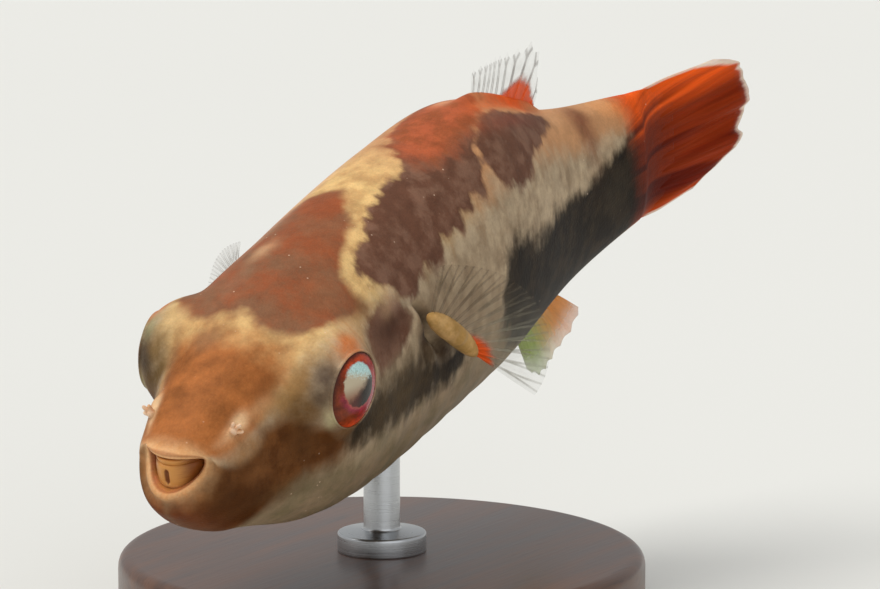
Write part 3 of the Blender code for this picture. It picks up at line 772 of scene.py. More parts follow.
class Shader:
    """Short ways to add and link the nodes of one material or node group."""

    def __init__(self, tree):
        self.tree = tree

    def add(self, kind, inputs=(), **settings):
        """A node with its settings, and its inputs by name or number."""
        node = self.tree.nodes.new(kind)
        for key, value in settings.items():
            setattr(node, key, value)
        for key, value in dict(inputs).items():
            self.feed(node.inputs[key], value)
        return node

    def feed(self, socket, value):
        """Links an output to an input, or sets the input's own value."""
        if isinstance(value, bpy.types.NodeSocket):
            self.tree.links.new(value, socket)
        elif socket.type == "RGBA" and len(value) == 3:
            socket.default_value = (*value, 1)
        else:
            socket.default_value = value

    def surface(self, **sockets):
        """Feeds the Principled shader's inputs, named with _ for each space."""
        shader = self.tree.nodes["Principled BSDF"]
        for key, value in sockets.items():
            self.feed(shader.inputs[key.replace("_", " ")], value)

    def group(self, tree, **inputs):
        """A node group's outputs, with its inputs fed."""
        return self.add("ShaderNodeGroup", node_tree=tree, inputs=inputs).outputs

    def math(self, operation, *values):
        """One arithmetic step."""
        return self.add("ShaderNodeMath", enumerate(values), operation=operation).outputs[0]

    # scale(value, factor, shift) gives value * factor + shift.
    scale = partialmethod(math, "MULTIPLY_ADD")
    times = partialmethod(math, "MULTIPLY")
    plus = partialmethod(math, "ADD")
    minus = partialmethod(math, "SUBTRACT")
    larger = partialmethod(math, "MAXIMUM")

    def mix(self, factor, first, second):
        """A blend of two colours."""
        inputs = {0: factor, 6: first, 7: second}
        return self.add("ShaderNodeMix", inputs, data_type="RGBA").outputs[2]

    def read(self, name, output="Fac"):
        """A value kept at the mesh's points."""
        return self.add("ShaderNodeAttribute", attribute_name=name).outputs[output]

    def noise(self, vector, scale, detail=4.0, roughness=0.55):
        """Cloudy noise from 0 to 1."""
        inputs = {"Vector": vector, "Scale": scale, "Detail": detail, "Roughness": roughness}
        return self.add("ShaderNodeTexNoise", inputs).outputs["Fac"]

    def cells(self, vector, scale):
        """Distance to the nearest of many scattered spots."""
        inputs = {"Vector": vector, "Scale": scale}
        return self.add("ShaderNodeTexVoronoi", inputs).outputs["Distance"]

    def stretch(self, vector, scale):
        """Coordinates stretched along each axis."""
        inputs = {0: vector, 1: scale}
        return self.add("ShaderNodeVectorMath", inputs, operation="MULTIPLY").outputs[0]

    def join(self, x, y=0.0, z=0.0):
        """Coordinates from single values."""
        return self.add("ShaderNodeCombineXYZ", {0: x, 1: y, 2: z}).outputs[0]

    def split(self, vector):
        """The single values of coordinates."""
        return self.add("ShaderNodeSeparateXYZ", {0: vector}).outputs

    def step(self, value, low, high, start=0.0, end=1.0):
        """A smooth step between two values."""
        inputs = enumerate((value, low, high, start, end))
        return self.add("ShaderNodeMapRange", inputs, interpolation_type="SMOOTHSTEP").outputs[0]

    def brighten(self, colour, value):
        """A colour made lighter or darker."""
        return self.add("ShaderNodeHueSaturation", {"Color": colour, "Value": value}).outputs[0]

    def bump(self, height, distance, strength=1.0):
        """A bumped normal."""
        inputs = {"Height": height, "Distance": distance, "Strength": strength}
        return self.add("ShaderNodeBump", inputs).outputs[0]


def new_material(name, **sockets):
    """A Principled material with plain values on its own sockets, and its helper."""
    material = bpy.data.materials.new(name)
    material.use_nodes = True
    helper = Shader(material.node_tree)
    helper.surface(**sockets)
    return material, helper


NUMBER, VECTOR, COLOUR = "NodeSocketFloat", "NodeSocketVector", "NodeSocketColor"


def shared_group(name, inputs, outputs):
    """Turns a function that links a node group's inside into one that gives the group."""

    def wrap(link):
        def group():
            if name not in bpy.data.node_groups:
                tree = bpy.data.node_groups.new(name, "ShaderNodeTree")
                for way, sockets in (("INPUT", inputs), ("OUTPUT", outputs)):
                    for socket, kind in sockets.items():
                        tree.interface.new_socket(socket, in_out=way, socket_type=kind)
                start, end = tree.nodes.new("NodeGroupInput"), tree.nodes.new("NodeGroupOutput")
                link(Shader(tree), start.outputs, end.inputs)
            return bpy.data.node_groups[name]

        return group

    return wrap


@shared_group(
    "Ragged edge", {"Inside": NUMBER, "Noise": NUMBER, "Raggedness": NUMBER, "Softness": NUMBER},
    {"Mask": NUMBER},
)
def ragged_edge_group(helper, start, end):
    """A mask with a ragged edge, from the distance inside a patch and some noise."""
    swing = helper.scale(start["Noise"], 2.0, -1.0)
    moved = helper.scale(swing, start["Raggedness"], start["Inside"])
    low = helper.times(start["Softness"], -1.0)
    helper.feed(end["Mask"], helper.step(moved, low, start["Softness"]))


@shared_group(
    "Mottle", {"Colour": COLOUR, "Place": VECTOR, "Scale": NUMBER, "Amount": NUMBER},
    {"Colour": COLOUR, "Height": NUMBER},
)
def mottle_group(helper, start, end):
    """Cloudy and speckled shade that turns one flat colour into living skin."""
    cloud = helper.noise(start["Place"], helper.times(start["Scale"], 0.55), 5.0, 0.62)
    grain = helper.noise(start["Place"], helper.times(start["Scale"], 4.2), 3.0, 0.6)
    swing = helper.minus(helper.plus(cloud, helper.scale(grain, 0.5, -0.25)), 0.5)
    bright = helper.scale(swing, start["Amount"], 1.0)
    helper.feed(end["Colour"], helper.brighten(start["Colour"], bright))
    helper.feed(end["Height"], helper.scale(cloud, 0.4, grain))


# ------------------------------------------------------------------ skin


def inside(points, y, a):
    """How far each spot lies inside a patch's outline, in hundredths; outside is negative."""
    corners = np.array(points, float) * (1, TURN_SCALE)
    u, v = y, a * TURN_SCALE
    distance = np.full(y.shape, 1e9)
    within = np.zeros(y.shape, bool)
    for (x0, y0), (x1, y1) in zip(corners, np.roll(corners, -1, axis=0), strict=True):
        dx, dy = x1 - x0, y1 - y0
        t = np.clip(((u - x0) * dx + (v - y0) * dy) / (dx * dx + dy * dy), 0, 1)
        distance = np.minimum(distance, np.hypot(u - x0 - t * dx, v - y0 - t * dy))
        if y0 != y1:
            crosses = (y0 > v) != (y1 > v)
            within ^= crosses & (u < dx * (v - y0) / dy + x0)
    return np.where(within, distance, -distance)


def paint_markings(mesh, y, a, lobe, flap):
    """Keeps each patch's inside distance, and the soft tints, at the skin's points."""
    side = np.abs(a)
    # On the right, the mirrored patches shift a little, so that the sides differ.
    mirror = np.where(a >= 0, y, y + 1.1 * np.sin(0.17 * y + 0.9)), side
    depths = {
        "saddle": inside(SADDLE, y, a),
        "middle": np.maximum.reduce((
            inside(MIDDLE, y, a), inside(MIDDLE_RIGHT, y, a), inside(UNDER_DORSAL, *mirror),
            inside(EYE_PATCH, *mirror),
        )),
        # The shade patches are dark markings, except UNDER_FIN_SHADOW, which is painted shadow
        # under the pectoral fin's root.
        "shade": np.maximum.reduce((
            inside(UNDER_EYE, *mirror), inside(UNDER_FIN_SHADOW, *mirror), inside(REAR_FLANK, *mirror),
        )),
        "rust": inside(RUST, y, a),
        "snout": inside(SNOUT, y, a),
        "cheek": inside(CHEEK, y, side),
        "back": (BACK_EDGE - side) * TURN_SCALE,
        "belly": (side - BELLY_EDGE) * TURN_SCALE,
        "lip": LIP_PLACE - y - 0.8 * ease((60, 120), side),
        "mouth": MOUTH_PLACE - y,
        "lobe": lobe,
        "tail": y - TAIL_RED_PLACE + 0.8 * np.cos(np.radians(side)),
        "throat": THROAT_PLACE - y,
        "flap": flap,
    }
    for name, depth in depths.items():
        store(mesh, name, depth)

    tint, cover = np.zeros((len(y), 3)), np.zeros(len(y))
    spots = [(side, spot) for spot in BOTH_SIDES] + [(a, spot) for spot in ONE_SIDE]
    for turns, (place, turn, reach, spread, colour, strength) in spots:
        away = ((y - place) / reach) ** 2 + ((turns - turn) / spread) ** 2
        share = strength * np.exp(-(away**1.25))
        tint = tint * (1 - share[:, None]) + np.array(tone(*colour)) * share[:, None]
        cover = cover * (1 - share) + share
    tint /= np.maximum(cover, 1e-6)[:, None]
    store(mesh, "tint", np.column_stack((tint, cover)))


def smooth_near(points, mesh, weight, rounds):
    """Eases the mesh where the weight is above 0, a share of the way to each point's neighbours."""
    ends = np.empty(len(mesh.edges) * 2, np.int32)
    mesh.edges.foreach_get("vertices", ends)
    first, second = ends.reshape(-1, 2).T
    near = (weight[first] > 0) | (weight[second] > 0)
    first, second = first[near], second[near]
    count = np.maximum(np.bincount(np.concatenate((first, second)), minlength=len(points)), 1)
    for _ in range(rounds):
        total = np.zeros_like(points)
        for axis in range(3):
            total[:, axis] = np.bincount(first, points[second, axis], len(points))
            total[:, axis] += np.bincount(second, points[first, axis], len(points))
        share = (0.6 * weight)[:, None]
        points = points * (1 - share) + total / count[:, None] * share
    return points


def lobe_line(side):
    """Middle line and radii of the fleshy root of one pectoral fin."""
    t = np.linspace(-1, 1, 41)
    turn = np.sin(t * math.pi / 2)
    middle = (LOBE_FRONT + LOBE_REAR) / 2
    along = (LOBE_REAR - LOBE_FRONT) / 2
    centres = middle + along * turn[:, None] + np.array((0.35, 0, 0.3)) * (1 - turn**2)[:, None]
    radii = LOBE_RADIUS * np.sqrt(np.maximum(1 - np.abs(turn) ** 2.6, 0.0004))
    radii = radii * (1 - 0.08 * turn)
    return centres * np.array((side, 1, 1)), radii


def nostril_lobes(side):
    """Middle lines and radii of the small lobes of one nostril flap."""
    root = NOSTRIL_PLACE * (side, 1, 1)
    aim = unit(NOSTRIL_AIM) * (side, 1, 1)
    fork = unit(np.cross(aim, (0, 1, 0.2)))
    t = np.linspace(0, 1, 15)[:, None]
    cap = np.sqrt(np.maximum(1 - (2 * t[:, 0] - 1) ** 4, 0.002))
    lobes = [(root + aim * (-0.6 + 2.1 * t), 0.55 * cap)]
    for way, reach in ((-1.0, 1.0), (0.15, 1.4), (1.1, 0.8)):
        centres = root + aim * (0.9 + reach * t) + fork * way * (0.12 + 0.6 * t)
        lobes.append((centres, (0.32 - 0.1 * t[:, 0]) * cap))
    return lobes


def add_skin(settings):
    """One skin over head, trunk and tail, with lids, nostril flaps and fin roots grown on."""
    rings, y_grid, a_grid = skin_grid()
    skin = loft_object("skin", rings)
    tree = kdtree.KDTree(rings.shape[0] * rings.shape[1])
    for index, point in enumerate(rings.reshape(-1, 3)):
        tree.insert(point, index)
    tree.balance()

    angles = np.arange(LID_STEPS) * math.tau / LID_STEPS
    lid = np.column_stack((
        EYE_RIM + 0.04 + LID_TUBE * np.cos(angles),
        EYE_RIM_DEPTH + 1.5 * LID_TUBE * np.sin(angles),
    ))
    for side in (1, -1):
        stance = orbit_middle(side), eye_aim(side), (0, 0, 1)
        socket = turned_rings(SOCKET, SOCKET_SEGMENTS, *stance)
        combine(skin, loft_object("socket", socket), "DIFFERENCE")
        tube = turned_rings(lid, LID_SEGMENTS, *stance)
        combine(skin, loose_object("lid", *torus_mesh(tube)), "UNION")
        combine(skin, rounded_loft("lobe", *lobe_line(side)), "UNION")
        for centres, radii in nostril_lobes(side):
            combine(skin, rounded_loft("flap", centres, radii, 16), "UNION")

    mesh = skin.data
    points = mesh_points(mesh)
    found = [tree.find(point)[1:] for point in points]
    nearest, gap = np.array([index for index, _ in found]), np.array([away for _, away in found])
    places, turns = y_grid.ravel()[nearest], a_grid.ravel()[nearest]

    # The depth inside the fin roots, for their colour, and the seams that are smoothed.
    lobe = np.full(len(points), FAR_OUTSIDE)
    crease = np.zeros(len(points))
    for side in (1, -1):
        centres, radii = lobe_line(side)
        away = np.linalg.norm(points[:, None] - centres[None, ::4], axis=-1) - radii[None, ::4]
        away = away.min(axis=1)
        lobe = np.maximum(lobe, 0.35 - away)
        crease = np.maximum(crease, np.clip(1 - np.abs(away) / 0.7, 0, 1) * (gap < 0.8))
        offset = points - orbit_middle(side)
        depth = offset @ eye_aim(side)
        across = np.linalg.norm(offset - depth[:, None] * eye_aim(side), axis=1)
        at_rim = (depth > 4.8) & (across > EYE_RIM + 0.05) & (across < EYE_RIM + 0.9)
        crease = np.maximum(crease, at_rim * 0.7)
    points = smooth_near(points, mesh, crease, SMOOTHING_ROUNDS)
    store(mesh, "straight", points)
    flap = np.where(places < 12, gap - 0.3, FAR_OUTSIDE)
    paint_markings(mesh, places, turns, lobe, flap)
    set_points(mesh, place_in_frame(points))
    finish_piece(
        skin, "head", "trunk", "tail", "pectoral_base_left", "pectoral_base_right",
        "nostril_flap_left", "nostril_flap_right", slot="skin", material=skin_material(settings),
    )


def skin_material(settings):
    """Patches with ragged edges, soft tints, mottling, pale dots and fine relief."""
    material, helper = new_material(
        "Puffer skin", Specular_IOR_Level=0.07, Subsurface_Weight=0.08,
        Subsurface_Radius=(1.0, 0.5, 0.3), Subsurface_Scale=0.5 * MM,
    )
    place = helper.read("straight", "Vector")
    cloud = helper.noise(place, 0.4, 4.0, 0.55)
    wide = helper.noise(helper.stretch(place, (1, 0.8, 1)), 0.26, 5.0, 0.62)
    streak = helper.noise(helper.stretch(place, (0.7, 1.6, 0.8)), 0.45, 3.0, 0.5)
    rough_edge = helper.scale(streak, 0.5, helper.times(cloud, 0.5))
    soft_edge = helper.noise(place, 0.3, 3.0, 0.45)
    wide_mask = helper.step(wide, 0.32, 0.7)
    cloud_mask = helper.step(cloud, 0.4, 0.65)

    def patch(name, edge, raggedness, softness):
        """The mask of one patch."""
        inputs = {"Noise": edge, "Raggedness": raggedness, "Softness": softness}
        return helper.group(ragged_edge_group(), Inside=helper.read(name), **inputs)["Mask"]

    def laid(below, *layers):
        """Lays patches, each of two mingled colours, over the colours so far."""
        for name, first, second, mask, *edge in layers:
            shade = helper.mix(mask, getattr(settings, first), getattr(settings, second))
            below = helper.mix(patch(name, *edge), below, shade)
        return below

    along = helper.split(place)[1]
    rear = helper.step(helper.scale(cloud, 6.0, along), 46.0, 62.0)
    flank = helper.mix(helper.step(rough_edge, 0.36, 0.66), settings.flank, settings.flank_dark)
    cream = helper.mix(cloud_mask, settings.cream, settings.cream_dark)
    cream = helper.mix(rear, cream, settings.tan)
    colour = helper.mix(patch("back", rough_edge, 2.6, 2.6), flank, cream)
    colour = laid(
        colour,
        # The belly's darker colour is partly painted shade of the underside.
        ("belly", "belly", "flank_dark", wide_mask, rough_edge, 2.0, 2.6),
        ("snout", "snout", "snout_dark", wide_mask, soft_edge, 2.4, 2.2),
        ("cheek", "cheek", "cheek_pale", cloud_mask, soft_edge, 1.8, 2.2),
        ("saddle", "saddle", "saddle_rust", wide_mask, soft_edge, 1.5, 0.9),
        ("middle", "middle", "middle_pale", cloud_mask, rough_edge, 2.2, 0.6),
        ("rust", "rust", "saddle_rust", cloud_mask, rough_edge, 3.0, 2.0),
        ("shade", "shade", "shade_pale", cloud_mask, rough_edge, 2.4, 1.3),
    )
    tint, cover = helper.read("tint", "Color"), helper.read("tint", "Alpha")
    uneven = helper.times(cover, helper.step(cloud, 0.25, 0.6, 0.65, 1.0))
    colour = helper.mix(uneven, colour, tint)
    red = tail_red(helper, settings)["Colour"]
    colour = helper.mix(patch("tail", rough_edge, 1.6, 2.2), colour, red)
    colour = laid(
        colour,
        ("lip", "lip", "lip_side", wide_mask, soft_edge, 1.0, 1.6),
        ("mouth", "lip_edge", "mouth", cloud_mask, soft_edge, 0.3, 0.4),
        # Painted shade deep in the mouth.
        ("throat", "throat", "throat", cloud_mask, soft_edge, 0.3, 1.6),
        ("lobe", "lobe", "cream_dark", cloud_mask, soft_edge, 0.3, 0.25),
        ("flap", "flap", "lip_side", cloud_mask, soft_edge, 0.1, 0.25),
    )
    crease = helper.math("ABSOLUTE", helper.minus(helper.read("lip"), 1.3))
    crease = helper.step(helper.scale(soft_edge, 0.5, crease), 0.6, 0.3, 0.0, 0.5)
    colour = helper.mix(crease, colour, tone(146, 78, 44))

    mottle = helper.group(mottle_group(), Colour=colour, Place=place, Scale=0.9, Amount=0.7)
    dot = helper.step(helper.cells(place, 0.62), 0.09, 0.03)
    spread = helper.step(helper.noise(place, 0.16, 2.0), 0.5, 0.62, 0.0, 0.6)
    colour = helper.mix(helper.times(dot, spread), mottle["Colour"], tone(236, 204, 176))
    pores = helper.plus(mottle["Height"], helper.cells(place, 3.4))
    helper.surface(
        Base_Color=colour, Roughness=helper.scale(mottle["Height"], 0.18, 0.42),
        Normal=helper.bump(pores, settings.pore_depth, 0.6),
    )
    return material


# ------------------------------------------------------------------ eyes and beak


def add_eyes(settings):
    """Two domed eyeballs that look out sideways and a little forward."""
    material = eye_material(settings)
    rise = EYE_FRONT - EYE_RIM_DEPTH
    curve_radius = (EYE_RIM**2 + rise**2) / (2 * rise)
    across = EYE_RIM * np.linspace(0.002, 1, 40)
    height = EYE_FRONT - curve_radius + np.sqrt(curve_radius**2 - across**2)
    turn = np.linspace(0.12, 1.56, 18)
    back = np.column_stack((EYE_RIM * np.cos(turn), EYE_RIM_DEPTH - EYE_DEPTH * np.sin(turn)))
    profile = np.vstack((np.column_stack((across, height)), back))
    for side, word in ((1, "left"), (-1, "right")):
        middle, look = orbit_middle(side), eye_aim(side)
        rings = turned_rings(profile, EYE_SEGMENTS, middle, look, (0, 0, 1))
        eye = loft_object("eye_" + word + "_ball", rings)
        points = mesh_points(eye.data)
        offset = points - middle
        forward = np.cross((0, 0, 1), look) * side
        dial = np.column_stack((offset @ forward, offset[:, 2], offset @ look)) / EYE_RIM
        store(eye.data, "dial", dial)
        set_points(eye.data, place_in_frame(points))
        finish_piece(eye, "eye_" + word, slot="eye", material=material)


def eye_material(settings):
    """A red iris round an oval pupil, whose top holds a painted reflection of the light: a silver
    haze and a turquoise gleam.
    """
    material, helper = new_material(
        "Puffer eye", Roughness=0.25, Coat_Weight=0.15, Coat_Roughness=0.04, Specular_IOR_Level=0.12
    )
    dial = helper.read("dial", "Vector")
    across, up, _ = helper.split(dial)
    grain = helper.noise(dial, 6.0, 4.0)
    fine = helper.noise(dial, 34.0, 2.0)
    jitter = helper.scale(grain, 0.24, helper.scale(fine, 0.2, -0.22))

    def distance(x, y):
        squares = helper.plus(helper.math("POWER", x, 2.0), helper.math("POWER", y, 2.0))
        return helper.math("SQRT", squares)

    radius = helper.scale(jitter, 0.4, distance(across, up))
    wide = helper.math("DIVIDE", helper.plus(across, 0.1), 0.56)
    tall = helper.math("DIVIDE", helper.minus(up, 0.22), 0.57)
    oval = helper.plus(distance(wide, tall), jitter)

    # The iris: brown in front, orange above and below, rosy beside the pupil, dark outside.
    cloudy_up = helper.scale(grain, 0.4, up)
    front = helper.step(helper.scale(grain, -0.5, across), -0.15, -0.65)
    iris = helper.mix(front, settings.iris, settings.iris_side)
    iris = helper.mix(helper.step(cloudy_up, 0.75, 1.0), iris, tone(176, 62, 26))
    iris = helper.mix(helper.step(cloudy_up, -0.35, -0.75), iris, tone(206, 70, 26))
    beside = helper.times(helper.step(oval, 1.4, 1.1), helper.step(up, 0.3, 0.0, 0.0, 0.6))
    iris = helper.mix(beside, iris, tone(148, 44, 74))
    iris = helper.group(mottle_group(), Colour=iris, Place=dial, Scale=7.0, Amount=1.8)["Colour"]
    ring = helper.times(helper.step(oval, 1.12, 1.02), helper.step(up, 0.4, 0.0, 0.0, 0.4))
    iris = helper.mix(ring, iris, tone(206, 116, 92))
    edge = helper.times(helper.step(radius, 0.84, 0.97), helper.step(up, -0.5, 0.3, 0.25, 1.0))
    iris = helper.mix(edge, iris, tone(70, 28, 14))

    # The pupil: dark below; above, a painted reflection of the light: a silver haze with a
    # turquoise gleam at the top.
    lower = helper.mix(helper.step(across, -0.45, 0.0), tone(88, 50, 44), settings.pupil)
    reflection_haze = helper.step(helper.plus(helper.scale(across, -0.5, up), jitter), 0.04, 0.34)
    silver_reflection = helper.mix(helper.step(up, -0.05, 0.4), tone(146, 106, 84), tone(190, 176, 150))
    shine = helper.scale(across, 0.4, helper.scale(fine, 0.6, up))
    gleam_reflection = helper.mix(helper.step(fine, 0.35, 0.65), tone(150, 192, 190), settings.gleam_reflection)
    lens = helper.mix(helper.step(shine, 0.66, 0.88), helper.mix(reflection_haze, lower, silver_reflection), gleam_reflection)
    helper.surface(
        Base_Color=helper.mix(helper.step(oval, 1.05, 0.95), iris, lens),
        Normal=helper.bump(grain, 0.02 * MM, 0.4),
    )
    return material


def add_beak(settings):
    """The two tooth plates behind the lips; the lower one has a slit in its middle."""
    material = beak_material(settings)
    for name, (low, high), slit_depth in (
        ("beak_upper", UPPER_BEAK, 0), ("beak_lower", LOWER_BEAK, SLIT_DEPTH),
    ):
        def centre(v, out, low=low, high=high):
            y = BEAK_FRONT + (BEAK_BACK - BEAK_FRONT) * np.abs(v) ** 2.2 + 0.5 * (1 - out) ** 2
            return np.stack((BEAK_HALF_WIDTH * v, y, low + (high - low) * out), -1)

        def thickness(v, out, slit_depth=slit_depth):
            slit = 1 - slit_depth * hill(v, 0, 0.1) * slit_span(out)
            return BEAK_THICKNESS * slit * np.sqrt(np.clip(1 - (2 * out - 1) ** 6, 0.02, 1))

        plate, v, out = sheet_object(name + "_plate", centre, thickness, *BEAK_GRID)
        store(plate.data, "across", v)
        store(plate.data, "out", out)
        store(plate.data, "slit", slit_span(out) * (slit_depth > 0))
        finish_piece(plate, name, slot="beak", material=material)


def slit_span(out):
    """How much of the slit shows at each height of a tooth plate."""
    return ease((0.16, 0.34), out) * (1 - ease((0.72, 0.9), out))


def beak_material(settings):
    """Ochre tooth plate with fine growth lines, painted shade towards its sides and a short slit in
    the middle, painted dark as shade in its groove.
    """
    material, helper = new_material("Puffer beak", Specular_IOR_Level=0.3)
    across, out = helper.read("across"), helper.read("out")
    growth = helper.noise(helper.join(across, helper.times(out, 6.0)), 3.0, 3.0)
    # The plates darken towards both sides: painted shade where they curve back into the corners of
    # the mouth.
    wide = helper.math("ABSOLUTE", across)
    side = helper.step(helper.scale(growth, 0.3, wide), 0.35, 0.95)
    colour = helper.mix(side, settings.beak, settings.beak_side)
    low = helper.step(helper.scale(growth, 0.3, out), 0.45, 0.1, 0.0, 0.5)
    colour = helper.mix(low, colour, tone(226, 182, 130))
    # The slit is painted dark brown as shade in its groove.
    spindle = helper.times(helper.read("slit"), 0.11)
    slit = helper.step(helper.minus(wide, spindle), 0.02, -0.05)
    helper.surface(
        Base_Color=helper.mix(slit, colour, tone(112, 56, 4)),
        Roughness=helper.scale(growth, 0.2, 0.3), Normal=helper.bump(growth, 0.012 * MM),
    )
    return material


# ------------------------------------------------------------------ fins


def sheet_object(name, centre, thickness, columns, rows):
    """A closed thin sheet on both sides of a middle surface, at its place in the frame.

    centre and thickness are functions of v, -1 to 1 across the rays, and out, 0 to 1 along
    them. It gives the object and each point's v and out.
    """
    v, out = np.meshgrid(np.linspace(-1, 1, columns), np.linspace(0, 1, rows))
    middle = centre(v, out)
    normal = unit(np.cross(np.gradient(middle, axis=1), np.gradient(middle, axis=0)))
    half = thickness(v, out)[..., None] / 2
    points = np.concatenate((middle + normal * half, middle - normal * half)).reshape(-1, 3)
    count = rows * columns
    faces = grid_faces(rows, columns, closed=False)
    faces += grid_faces(rows, columns, closed=False, first=count, turned=True)
    edge = [(0, i) for i in range(columns)] + [(j, columns - 1) for j in range(1, rows)]
    edge += [(rows - 1, i) for i in range(columns - 2, -1, -1)]
    edge += [(j, 0) for j in range(rows - 2, 0, -1)]
    loop = [row * columns + column for row, column in edge]
    for here, after in zip(loop, loop[1:] + loop[:1], strict=True):
        faces.append((here, after, count + after, count + here))
    sheet = loose_object(name, place_in_frame(points), faces)
    store(sheet.data, "straight", points)
    return sheet, np.tile(v.ravel(), 2), np.tile(out.ravel(), 2)


def ray_ridges(v, out, count, width, split):
    """How strongly each spot lies on a ray, 0 to 1. The rays fork in two past the split."""
    spread = 1 / count
    ridge = np.zeros_like(v)
    fork = np.clip((out - split) / (1 - split), 0, 1) * 0.26 * 2 * spread
    narrow = width * (1 - 0.45 * out)
    for i in range(count):
        middle = -1 + 2 * (i + 0.5) * spread
        for way in (-1, 1):
            ridge = np.maximum(ridge, hill(v, middle + way * fork, narrow * spread))
    return ridge


def midline_centre(root, tips, column, rays, notch):
    """Middle surface of a fin on the BACK or the BELLY, with a free tip to each ray."""
    sunk = -ROOT_SINK if column == BACK else ROOT_SINK
    tips = np.array(tips)

    def through(values, share):
        knots = np.linspace(0, 1, len(values))
        smooth = np.interp(share, knots, values)
        for shift in (-0.05, 0.05):
            smooth = smooth + np.interp(share + shift, knots, values)
        return smooth / 3

    def centre(v, out):
        share = (v + 1) / 2
        y = through(root, share)
        z = outline(y, column) + sunk
        scallop = 1 - notch * np.abs(np.cos(share * math.pi * rays)) * ease((0.5, 1), out)
        along = out * scallop
        sway = 0.5 * np.sin(2.5 * math.pi * share) * along + 0.5 * along**2
        lean = 0.3 * np.sin(math.pi * along) * (root[-1] - root[0]) / 10
        tip_y, tip_z = through(tips[:, 0], share), through(tips[:, 1], share)
        return np.stack((sway, y + (tip_y - y) * along + lean, z + (tip_z - z) * along), axis=-1)

    return centre


def tail_fin_reach(v):
    """Length of the tail fin's rays, from its lower edge (-1) to its upper (1)."""
    notch = 1.3 * hill(v, -0.34, 0.07)
    upper = TAIL_FIN_LENGTH * (1 - 0.3 * np.abs(v) ** 5)
    lower = TAIL_FIN_LENGTH * (1 - 0.48 * np.abs(v) ** 2.6) - notch
    return np.where(v > 0, upper, lower)


def tail_centre(v, out):
    """Middle surface of the tail fin, softly folded between its rays."""
    start = TAIL_ROOT - 1.4
    folds = v * math.pi * TAIL_FOLDS + 0.6
    scallop = 0.28 * np.abs(np.sin(folds)) + 0.05 * np.sin(v * 37)
    end = TAIL_ROOT + GAP + tail_fin_reach(v) + scallop * (1 - v**8)
    y = start + (end - start) * out
    height = TAIL_FIN_HEIGHT * (1 + 0.05 * np.sin(math.pi * out))
    crimp = ease((0.4, 0.7), out) * (1 - 0.6 * ease((0.85, 1), out))
    fold = 0.5 * np.sin(9 * v) * ease((0.38, 1), out) + 0.22 * np.sin(folds) * crimp
    return np.stack((fold, y, height * v), axis=-1)


def pectoral_centre(side):
    """Middle surface of one pectoral fin, from its upper ray (-1) to its lowest (1)."""
    upper, outer, spread, longest = PECTORAL_FANS[side]
    upper, outer = np.array(upper), np.array(outer)

    def centre(v, out):
        share = ((v + 1) / 2)[..., None]
        root = LOBE_FRONT + (LOBE_REAR - LOBE_FRONT) * (0.06 + 0.9 * share)
        aim = unit(upper * np.cos(spread * share) + outer * np.sin(spread * share))
        start = root + aim * (LOBE_RADIUS - 0.6)
        swell = 0.5 + 0.5 * np.sin(math.pi * (0.05 + 0.72 * share))
        length = longest * swell + 0.7 + GAP
        spot = start + aim * length * out[..., None]
        sway = 0.35 * np.sin(7 * share[..., 0]) * out
        curl = 0.9 * out**2
        x, y, z = np.moveaxis(spot, -1, 0)
        return np.stack((side * (x + sway), y - 0.8 * sway + curl, z - 0.5 * curl), axis=-1)

    return centre


def add_fin(node, slot, centre, rays, grid, membrane, material):
    """One fin: a closed membrane with raised rays."""
    membrane = membrane / UNIT
    count, width, size, split = rays

    def thickness(v, out):
        taper = 1 - 0.75 * out
        ridges = ray_ridges(v, out, count, width, split)
        return membrane * (0.6 + 0.4 * taper) + size * taper * ridges

    fin, v, out = sheet_object(node + "_blade", centre, thickness, *grid)
    store(fin.data, "across", v)
    store(fin.data, "out", out)
    store(fin.data, "ray", ray_ridges(v, out, count, width, split))
    finish_piece(fin, node, slot=slot, material=material)


def clear_fin_material(name, tints, root_reach, film, cover):
    """Clear membrane with fine rays: tints are its first rays, last rays and root, film is
    the membrane's cover and cover the rays'."""
    material, helper = new_material(name, Specular_IOR_Level=0.2)
    out, ray, across = helper.read("out"), helper.read("ray"), helper.read("across")
    first, last, ember = tints
    place = helper.join(helper.times(across, 3.0), helper.times(out, 0.7))
    grain = helper.noise(place, 5.0, 4.0)
    turn = helper.step(helper.scale(grain, 0.7, across), -0.1, 1.0)
    colour = helper.mix(turn, first, last)
    reach = helper.scale(turn, root_reach[1] - root_reach[0], root_reach[0])
    root = helper.step(helper.minus(reach, helper.scale(grain, 0.3, out)), -0.08, 0.12)
    colour = helper.mix(root, colour, ember)
    mottle = helper.group(mottle_group(), Colour=colour, Place=place, Scale=7.0, Amount=0.7)
    thin = helper.scale(grain, 0.2, film - 0.1)
    lines = helper.times(ray, helper.step(grain, 0.25, 0.7, cover * 0.55, cover))
    root_cover = helper.times(root, helper.scale(ray, 0.15, 0.8))
    whole = helper.larger(lines, helper.larger(root_cover, thin))
    tip = helper.step(out, 0.55, 1.0, 1.0, 0.45)
    helper.surface(
        Base_Color=mottle["Colour"], Alpha=helper.times(whole, tip),
        Roughness=helper.scale(grain, 0.2, 0.4),
    )
    return material


